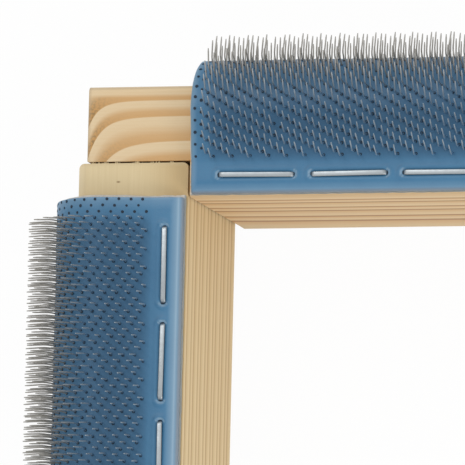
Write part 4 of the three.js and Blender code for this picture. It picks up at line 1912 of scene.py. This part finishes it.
@dataclass
class GripperStrip:
    """One strip: rubber face, cloth backing, pins with their holes, and staples.

    Where a size has two values, the first is a long bar's and the second a side bar's.

    Args:
        measures: The frame's sizes.
        side: The bar that carries it.
        materials: The finishes by slot.
        staples: The staples' places and wire.
        staple_seat: The rubber round a staple's crown.
        end_gaps: Distance of the strip's ends from the window's corners.
        face: Thickness of the rubber.
        layer_gap: Gap between rubber and cloth.
        backing: Thickness of the cloth.
        rubber_setback: How far the rubber stops short of the cloth at the ends.
        roll_width: Width of the inner edge that is pressed down.
        roll_drop: How far it is pressed down.
        roll_power: How fast it levels out.
        rounding: Rounding of the rubber's cut edges.
        swells: Number of places along the strip between which the rubber's thickness drifts.
        swell: How far it drifts.
        swell_width: Distance from the inner edge at which the drift is whole.
        fray: Outward shift of the cloth's inner edge, least and most.
        fray_share: How much of that shift the cloth's underside has.
        ragged: How far the cloth's cut ends are uneven.
        pale_edges: Width of the painted highlight band along the inner edge.
        pale_shares: Strength of that painted highlight.
        row_margin: Distance of the first row of pins from the strip's end.
        row_pitch: Distance of two rows of pins along the bar.
        column_pitch: Distance of two pins in a row.
        columns: Pins in a row.
        stagger: Number of rows after which their shift across the bar starts again.
        scatter: How far a pin lies off its place.
        missing: Share of the pins that has gone.
        field_start: Distance of the first pin from the inner edge.
        bare_ends: Length at the strip's ends where only holes are left.
        root_depth: How deep a pin is rooted.
        foot: Length of a pin below its knee.
        point: Length of a pin above its knee.
        shoulder: Where a pin's tip starts, as a share of its point.
        foot_lean: Inward lean of the foot in degrees.
        point_leans: Outward lean of the point in degrees.
        along_leans: Lean of the point along the bar, as a share of its length.
        knee_ease: Length of the bend on each side of the knee.
        wire_radius: Radius of a pin.
        wire_turns: Largest turns of a pin about its own axes, in degrees.
        worn: Distance from the inner edge at which the pins take a painted darker reflection, and over what
            width.
        flank: The same for the pins that stand on the outer flank.
        flank_tilt: How far the flank's pins make up for the lean along the bar.
        hole_radius: Radius of a pin's hole.
        hole_height: Height of the dark plug that paints the shade in that hole.
    """

    measures: FrameMeasures
    side: Side
    materials: dict[str, Material]
    staples: StapleLayout = StapleLayout()
    staple_seat: StapleSeat = StapleSeat()
    end_gaps: Pair = (0.55, -0.2)
    face: float = 1.3
    layer_gap: float = 0.1
    backing: float = 0.8
    rubber_setback: float = 0.4
    roll_width: float = 2.1
    roll_drop: float = 0.5
    roll_power: float = 1.3
    rounding: float = 0.4
    swells: int = 60
    swell: float = 0.035
    swell_width: float = 4.0
    fray: Pair = (-0.26, -0.1)
    fray_share: float = 0.6
    ragged: float = 0.16
    pale_edges: Pair = (1.6, 2.1)
    pale_shares: Pair = (0.4, 1.0)
    row_margin: float = 0.75
    row_pitch: float = 1.03
    column_pitch: float = 1.97
    columns: tuple[int, int] = (10, 11)
    stagger: int = 3
    scatter: float = 0.03
    missing: float = 0.004
    field_start: float = 6.0
    bare_ends: Pair = (2.95, 3.55)
    root_depth: float = 0.4
    foot: float = 1.7
    point: float = 2.95
    shoulder: float = 0.8
    foot_lean: float = -8.0
    point_leans: Pair = (34.0, 9.0)
    along_leans: Pair = (0.06, -0.12)
    knee_ease: float = 0.3
    wire_radius: float = 0.13
    wire_turns: Triple = (2.2, 1.1, 3.0)
    worn: Pair = (15.0, 4.0)
    flank: Pair = (13.0, 5.0)
    flank_tilt: float = 0.45
    hole_radius: float = 0.255
    hole_height: float = 0.06

    def __post_init__(self) -> None:
        """Works out the sizes that follow from the others."""
        self.line = StripLine(self.measures.thickness)
        self.total = self.line.length()
        self.length = self.measures.strip_length(self.side) - 2 * self.by_bar(self.end_gaps)
        self.rubber_half = self.length / 2 - self.rubber_setback
        self.top = self.face + self.layer_gap + self.backing
        self.seat = self.measures.seat(self.side)

    def by_bar(self, pair: Pair) -> float:
        """Picks the long bar's or the side bar's value of a pair."""
        return pair[0] if self.side.is_long else pair[1]

    def staple_line(self, seat: Seat) -> float:
        """Distance of one line of staples from the strip's inner edge."""
        return self.staples.inset if seat is Seat.WINDOW else self.total - self.staples.inset

    def middles(self, seat: Seat) -> list[float]:
        """Places along the bar of the crowns' middles on one line."""
        return self.staples.middles(self.length, seat, self.side)

    def legs(self, seat: Seat, outset: float = 0.0) -> list[float]:
        """Places along the bar of the legs on one line, or of points a little further out."""
        reach = self.staples.crown / 2 + outset
        return [middle + end * reach for middle in self.middles(seat) for end in (-1, 1)]

    def sweep(self, stations: Array, outer: Array, inner: Array) -> Mesh:
        """Makes a closed sheet from its outer and inner surfaces.

        Args:
            stations: Places along the bar, one a station or one a point round each.
            outer: The outer surface, stations by points by 2.
            inner: The inner surface, in the same layout.

        Returns:
            The mesh in metres.
        """
        rows, count = outer.shape[:2]
        around = 2 * count
        loop = np.concatenate([outer, inner[:, ::-1]], axis=1)
        along = np.broadcast_to(stations.reshape(rows, -1, 1), (rows, around, 1))
        points = np.concatenate([along, loop], axis=2).reshape(-1, 3)
        i, j = np.meshgrid(np.arange(rows - 1), np.arange(around), indexing="ij")
        low, high, k = i * around, (i + 1) * around, (j + 1) % around
        faces = np.stack([low + j, low + k, high + k, high + j], axis=-1).reshape(-1, 4).tolist()
        for base in (0, (rows - 1) * around):
            end = base + around - 1
            faces += [[base + p, base + p + 1, end - 1 - p, end - p] for p in range(count - 1)]
        mesh = mesh_from_arrays(points, faces)
        mesh.transform(self.seat)
        return mesh

    def section_places(self) -> Array:
        """Distances across the strip at which its surfaces have points."""
        edge = np.array(EDGE_PLACES)
        slope, slope_end, slope_step = SLOPE_RUN
        hem, hem_end, hem_step = HEM_RUN
        return np.concatenate([
            edge, np.arange(*CROWN_RUN), RISE_PLACES, np.arange(*FIELD_RUN), np.arange(*TURN_RUN),
            np.arange(slope, self.total - slope_end, slope_step),
            np.arange(self.total - hem, self.total - hem_end, hem_step),
            self.total - edge[::-1],
        ])

    def stations(self) -> Array:
        """Places along the strip at which the rubber has points, close at the staples' legs."""
        half, ends = self.rubber_half, np.array(END_PLACES)
        spots = [run(-half, half, RUBBER_RUN), ends - half, half - ends]
        for seat in Seat:
            spots += [leg + np.array(LEG_PLACES) for leg in self.legs(seat)]
        places = np.unique(np.round(np.concatenate(spots), 2))
        keep = np.concatenate([[True], np.diff(places) > LEAST_STEP])
        return places[keep]

    def rounded(self, near: Array) -> Array:
        """How far the rubber is rounded off at given distances from a cut edge."""
        corner = np.clip(self.rounding - near, 0, self.rounding)
        return self.rounding - np.sqrt(self.rounding ** 2 - corner ** 2)

    def relief(self, stations: Array, across: Array) -> tuple[Array, Array]:
        """Shapes the rubber's outer surface.

        Args:
            stations: Places along the strip.
            across: Places across it.

        Returns:
            Its height above the underside and the painted highlight rings at the staples' legs, both
            stations by points across.
        """
        half = self.rubber_half
        lift = np.full(len(across), self.top)
        lift -= self.roll_drop * fade(-across, -self.roll_width, self.roll_width) ** self.roll_power
        for near in (across, self.total - across):
            lift -= self.rounded(near)
        grid = np.repeat(lift[None, :], len(stations), axis=0)
        for near in (stations + half, half - stations):
            grid -= self.rounded(near)[:, None]
        rings = np.zeros_like(grid)
        for seat in Seat:
            off = across - self.staple_line(seat)
            for middle in self.middles(seat):
                past = np.abs(stations - middle) - self.staples.crown / 2
                change, ring = self.staple_seat.press(past, off)
                grid += change
                rings = np.maximum(rings, ring)
        dice = np.random.default_rng(Seed.SWELL.on(self.side))
        drift = dice.normal(0, self.swell, self.swells)
        drift = np.interp(stations, np.linspace(-half, half, self.swells), drift)
        return grid + drift[:, None] * fade(across, 0, self.swell_width)[None, :], rings

    def masks(
        self, stations: Array, across: Array, rings: Array,
    ) -> dict[str, Array]:
        """Finds where the rubber gets painted shade among the pins, painted highlights, and a greyer cut edge
        with painted shade.

        Args:
            stations: Places along the strip.
            across: Places across it.
            rings: The painted highlight rings at the staples' legs.

        Returns:
            The masks by name, stations by points across.
        """
        inside = self.rubber_half - np.abs(stations)
        # Painted shade of the pins on the rubber of the pin field
        field = fade(across, self.field_start - FIELD_FADE[0], FIELD_FADE[1])
        ends = fade(inside, self.by_bar(self.bare_ends) - BARE_FADE[0], BARE_FADE[1])
        ends = BARE_SHADE + (1 - BARE_SHADE) * ends
        # Painted highlight along the inner edge and on the cut ends, joined with the painted highlight rings
        # at the staples' legs
        band = self.by_bar(self.pale_shares) * mask_at(across / self.by_bar(self.pale_edges), INNER_HIGHLIGHT_BAND)
        pale = np.maximum(band[None, :], mask_at(inside, END_HIGHLIGHT)[:, None])
        cut = mask_at(across, CUT_EDGE)
        return {
            PIN_SHADE: ends[:, None] * field[None, :],
            EDGE_HIGHLIGHT: np.maximum(pale, rings),
            GREY_EDGE_AND_SHADE: np.repeat(cut[None, :], len(stations), axis=0),
        }

    def rubber(self) -> None:
        """Builds the rubber face with its pressed edge and the dents of the staples."""
        across, stations = self.section_places(), self.stations()
        grid, rings = self.relief(stations, across)
        outer = np.stack([self.line.at(across, row) for row in grid])
        floor = self.line.at(across, self.backing + self.layer_gap)
        inner = np.repeat(floor[None], len(stations), axis=0)
        piece = make_object(f"{self.side.label}_rubber_face", self.sweep(stations, outer, inner))
        for name, mask in self.masks(stations, across, rings).items():
            add_mask(piece.data, name, mask)
        shade_smooth(piece.data, angle=50)
        piece.data.materials.append(self.materials["rubber"])
        hand_over(piece, [f"{self.side.label}_pin_face"])

    def cloth(self) -> None:
        """Builds the cloth backing with its frayed edges."""
        across = self.section_places()[::2]
        half, around = self.length / 2, 2 * len(across)
        end = np.array([0.0, CLOTH_END])
        stations = np.concatenate([end - half, run(-half, half, CLOTH_RUN), half - end[::-1]])
        dice = np.random.default_rng(Seed.FRAY.on(self.side))
        outer = np.repeat(self.line.at(across, self.backing)[None], len(stations), axis=0)
        inner = np.repeat(self.line.at(across, 0.0)[None], len(stations), axis=0)
        fray = dice.uniform(*self.fray, len(stations))
        outer[:, 0, 0] += fray
        inner[:, 0, 0] += fray * self.fray_share
        along = np.repeat(stations[:, None], around, axis=1)
        along[0] += dice.uniform(0.0, self.ragged, around)
        along[-1] -= dice.uniform(0.0, self.ragged, around)
        piece = make_object(f"{self.side.label}_cloth_backing", self.sweep(along, outer, inner))
        # The cloth's inner edge gets its own grey with painted shade
        shaded_edge_mask = np.zeros((len(stations), around))
        shaded_edge_mask[:, [0, -1]] = 1.0
        add_values(piece.data, GREY_EDGE_AND_SHADE, shaded_edge_mask)
        shade_smooth(piece.data, angle=40)
        piece.data.materials.append(self.materials["cloth"])
        hand_over(piece, [f"{self.side.label}_strip_backing"])

    def lattice(self, bare: bool) -> Mesh:
        """The places of the pins, or of every hole, as bare points.

        Args:
            bare: Whether the ends that have lost their pins count too.

        Returns:
            A mesh of points with their outward and along directions, in local millimetres.
        """
        half = self.length / 2 - self.row_margin
        rows = int(2 * half / self.row_pitch) + 1
        first = -(rows - 1) * self.row_pitch / 2
        row, column = np.meshgrid(np.arange(rows), np.arange(self.by_bar(self.columns)), indexing="ij")
        along = first + row * self.row_pitch
        shift = (-row % self.stagger) * self.column_pitch / self.stagger
        reach = self.field_start + column * self.column_pitch + shift
        dice = np.random.default_rng(Seed.PIN_PLACES.on(self.side))
        along = (along + dice.normal(0, self.scatter, along.shape)).ravel()
        reach = (reach + dice.normal(0, self.scatter, reach.shape)).ravel()
        if not bare:
            keep = np.abs(along) < self.length / 2 - self.by_bar(self.bare_ends)
            keep &= dice.uniform(size=len(along)) > self.missing
            along, reach = along[keep], reach[keep]
        spots, normals = self.line.roots(reach, self.top)
        tilt = -self.flank_tilt * self.by_bar(self.along_leans) * fade(reach, *self.flank)
        mesh = point_mesh(np.column_stack([along, spots]), np.column_stack([tilt, normals]))
        # Painted darker reflection on the pins of the outer flank
        add_values(mesh, FLANK_WIRE_SHADE, fade(reach, *self.worn))
        return mesh

    def pins(self) -> None:
        """Builds the wire pins."""
        foot, point = math.radians(self.foot_lean), math.radians(self.by_bar(self.point_leans))
        low = Vector((0.0, math.sin(foot), math.cos(foot)))
        high = Vector((self.by_bar(self.along_leans), math.sin(point), math.cos(point))).normalized()
        knee = low * self.foot
        stops = (
            low * -self.root_depth, knee - low * self.knee_ease, knee + high * self.knee_ease,
            knee + high * self.point * self.shoulder, knee + high * self.point,
        )
        set_repeats(f"{self.side.label}_wire_pins", self.lattice(bare=False), pin_tree(), {
            **dict(zip(WIRE_STOPS, stops)), "Wire Radius": self.wire_radius, "Wire Sides": 5,
            "Root End": 0.36, "Taper Start": 0.92, "Tip Share": 0.6,
            "Turn Spread": tuple(math.radians(turn) for turn in self.wire_turns),
            "Length Spread": 0.02, "Seed": Seed.PIN_TURNS.on(self.side),
            "Material": self.materials["pin"],
        }, self.seat, smooth_angle=80)

    def holes(self) -> None:
        """Builds dark plugs that paint the shade in the holes that the pins come out of."""
        set_repeats(f"{self.side.label}_pin_holes", self.lattice(bare=True), peg_tree(pointed=False), {
            "Radius": self.hole_radius, "Height": self.hole_height, "Sides": 6,
            "Turn Spread": (0.0, 0.0, 1.0), "Size Spread": 0.15,
            "Seed": Seed.HOLE_SIZES.on(self.side), "Material": self.materials["hole"],
        }, self.seat)

    def leg_holes(self) -> None:
        """Builds dark plugs that paint the shade in the holes that the staples' legs have torn a little
        wider.
        """
        places, headings = [], []
        for seat in Seat:
            spot, normal = self.line.seat_at(self.staple_line(seat), self.top - self.staples.hole_sink)
            legs = self.legs(seat, self.staples.hole_outset)
            places += [(leg, *spot) for leg in legs]
            headings += [(0.0, *normal)] * len(legs)
        points = point_mesh(places, headings)
        set_repeats(f"{self.side.label}_leg_holes", points, peg_tree(pointed=False), {
            "Radius": self.staples.hole_radius, "Height": self.staples.hole_height, "Sides": 14,
            "Turn Spread": (0.0, 0.0, 1.0), "Size Spread": 0.12,
            "Seed": Seed.LEG_HOLES.on(self.side), "Material": self.materials["hole"],
        }, self.seat)

    def staple_row(self, seat: Seat) -> None:
        """Builds the staples on one of the strip's two lines."""
        wire, name = self.staples, f"{self.side.label}_{seat.value}_staple"
        spot, normal = self.line.seat_at(self.staple_line(seat), self.top + wire.lift)
        places = [(middle, *spot) for middle in self.middles(seat)]
        set_repeats(f"{name}_row", point_mesh(places, (0.0, *normal)), staple_tree(), {
            "Crown": wire.crown - wire.tear, "Leg": wire.leg, "Wire Width": wire.wire_width,
            "Wire Thickness": wire.wire_thickness, "Corner Radius": wire.corner,
            "Turn Spread": wire.turns, "Seed": Seed.STAPLE_TURNS.on(self.side),
            "Material": self.materials["staple"],
        }, self.seat, [f"{name}s"], smooth_angle=50)

    def build(self) -> None:
        """Builds every layer of the strip."""
        self.cloth()
        self.rubber()
        self.holes()
        self.pins()
        self.leg_holes()
        for seat in Seat:
            self.staple_row(seat)


# Studio


@dataclass
class Studio:
    """Camera, soft lights and a plain white floor.

    Args:
        position: The camera's place in millimetres.
        turn: The camera's turn in degrees about X, Y and Z.
        lens: Focal length in millimetres.
        floor_size: Side of the floor in metres.
        floor_drop: How far the floor lies below the frame, in metres.
        plain_share: How much of the floor is plain white whatever falls on it.
        sky_strength: Strength of the even light from all around.
        lamp_size: Side of a lamp in metres.
        lamps: Name, place in metres and power in watts of each lamp.
    """

    position: Triple = (199.16, -88.21, 1500.0)
    turn: Triple = (8.398, 14.118, 1.372)
    lens: float = 721.7
    floor_size: float = 8.0
    floor_drop: float = 0.0002
    plain_share: float = 0.96
    sky_strength: float = 0.76
    lamp_size: float = 0.8
    lamps: tuple[tuple[str, Triple, float], ...] = (
        ("key_lamp", (-0.7, 0.9, 1.3), 6.0), ("fill_lamp", (1.15, -0.9, 0.7), 11.0),
    )

    def camera(self) -> None:
        """Places the camera above the middle of the frame, turned to its rear left corner."""
        data = bpy.data.cameras.new("camera")
        data.lens = self.lens
        data.sensor_width = 36.0
        data.clip_start = 0.01
        data.clip_end = 50.0
        camera = make_object("camera", data)
        camera.location = Vector(self.position) * MM
        camera.rotation_euler = Euler([math.radians(angle) for angle in self.turn], "XYZ")
        bpy.context.scene.camera = camera

    def lamp(self, name: str, place: Vector, power: float) -> None:
        """Hangs one soft lamp that faces the frame.

        Args:
            name: Its name.
            place: Its place in metres.
            power: Its power in watts.
        """
        data = bpy.data.lights.new(name, "AREA")
        data.shape = "SQUARE"
        data.size = self.lamp_size
        data.energy = power
        lamp = make_object(name, data)
        lamp.location = place
        lamp.rotation_euler = (-place).to_track_quat("-Z", "Y").to_euler()

    @staticmethod
    def seen_as_white(sketch: NodeSketch) -> Socket:
        """A mask of the rays that see the plain white surroundings.

        Args:
            sketch: The tree's sketch.

        Returns:
            1 for those rays and 0 for the rest.
        """
        rays = sketch.add("ShaderNodeLightPath")
        mask = rays.outputs[Ray.CAMERA.value]
        for ray in (Ray.GLOSSY, Ray.TRANSMISSION):
            mask = sketch.math("MAXIMUM", mask, rays.outputs[ray.value])
        return mask

    def floor(self) -> None:
        """Lays the white floor, which keeps a soft shadow."""
        half = self.floor_size / 2
        sketch = bmesh.new()
        for x, y in ((-half, -half), (half, -half), (half, half), (-half, half)):
            sketch.verts.new((x, y, -self.floor_drop))
        sketch.faces.new(list(sketch.verts))
        floor = make_object("floor", finished(sketch))
        material = bpy.data.materials.new("white_floor")
        nodes = open_tree(material)
        diffuse = nodes.add("ShaderNodeBsdfDiffuse", {"Color": (0.9, 0.9, 0.9, 1.0)})
        glow = nodes.add("ShaderNodeEmission", {"Color": (1.0, 1.0, 1.0, 1.0), "Strength": 1.0})
        share = nodes.product(self.seen_as_white(nodes), self.plain_share)
        blend = nodes.add("ShaderNodeMixShader", {"Fac": share})
        nodes.fill(blend.inputs[1], diffuse.outputs[0])
        nodes.fill(blend.inputs[2], glow.outputs[0])
        nodes.add("ShaderNodeOutputMaterial", {"Surface": blend.outputs[0]})
        floor.data.materials.append(material)

    def sky(self) -> None:
        """Fills the surroundings with even light."""
        world = bpy.data.worlds.new("studio")
        nodes = open_tree(world)
        plain = self.seen_as_white(nodes)
        strength = nodes.math("MULTIPLY_ADD", plain, 1 - self.sky_strength, self.sky_strength)
        glow = nodes.add("ShaderNodeBackground", {"Color": (1.0, 1.0, 1.0, 1.0), "Strength": strength})
        nodes.add("ShaderNodeOutputWorld", {"Surface": glow.outputs[0]})
        bpy.context.scene.world = world

    def build(self) -> None:
        """Sets the whole studio."""
        bpy.context.scene.view_settings.view_transform = "Standard"
        self.camera()
        self.floor()
        self.sky()
        for name, place, power in self.lamps:
            self.lamp(name, Vector(place), power)


def main() -> None:
    """Builds the studio, the wood, the screws and the four strips."""
    logging.basicConfig(level=logging.INFO, format="%(message)s")
    measures = FrameMeasures.from_nodes()
    Studio().build()
    screws = CornerScrews(measures)
    WoodFrame(measures, screws).build()
    screws.build()
    materials = {
        "rubber": RUBBER.material(), "cloth": CLOTH.material(), "pin": PIN_WIRE.material(),
        "hole": HOLE_SHADE.material(), "staple": STAPLE_WIRE.material(),
    }
    for side in Side:
        GripperStrip(measures, side, materials).build()


if __name__ == "__main__":
    main()
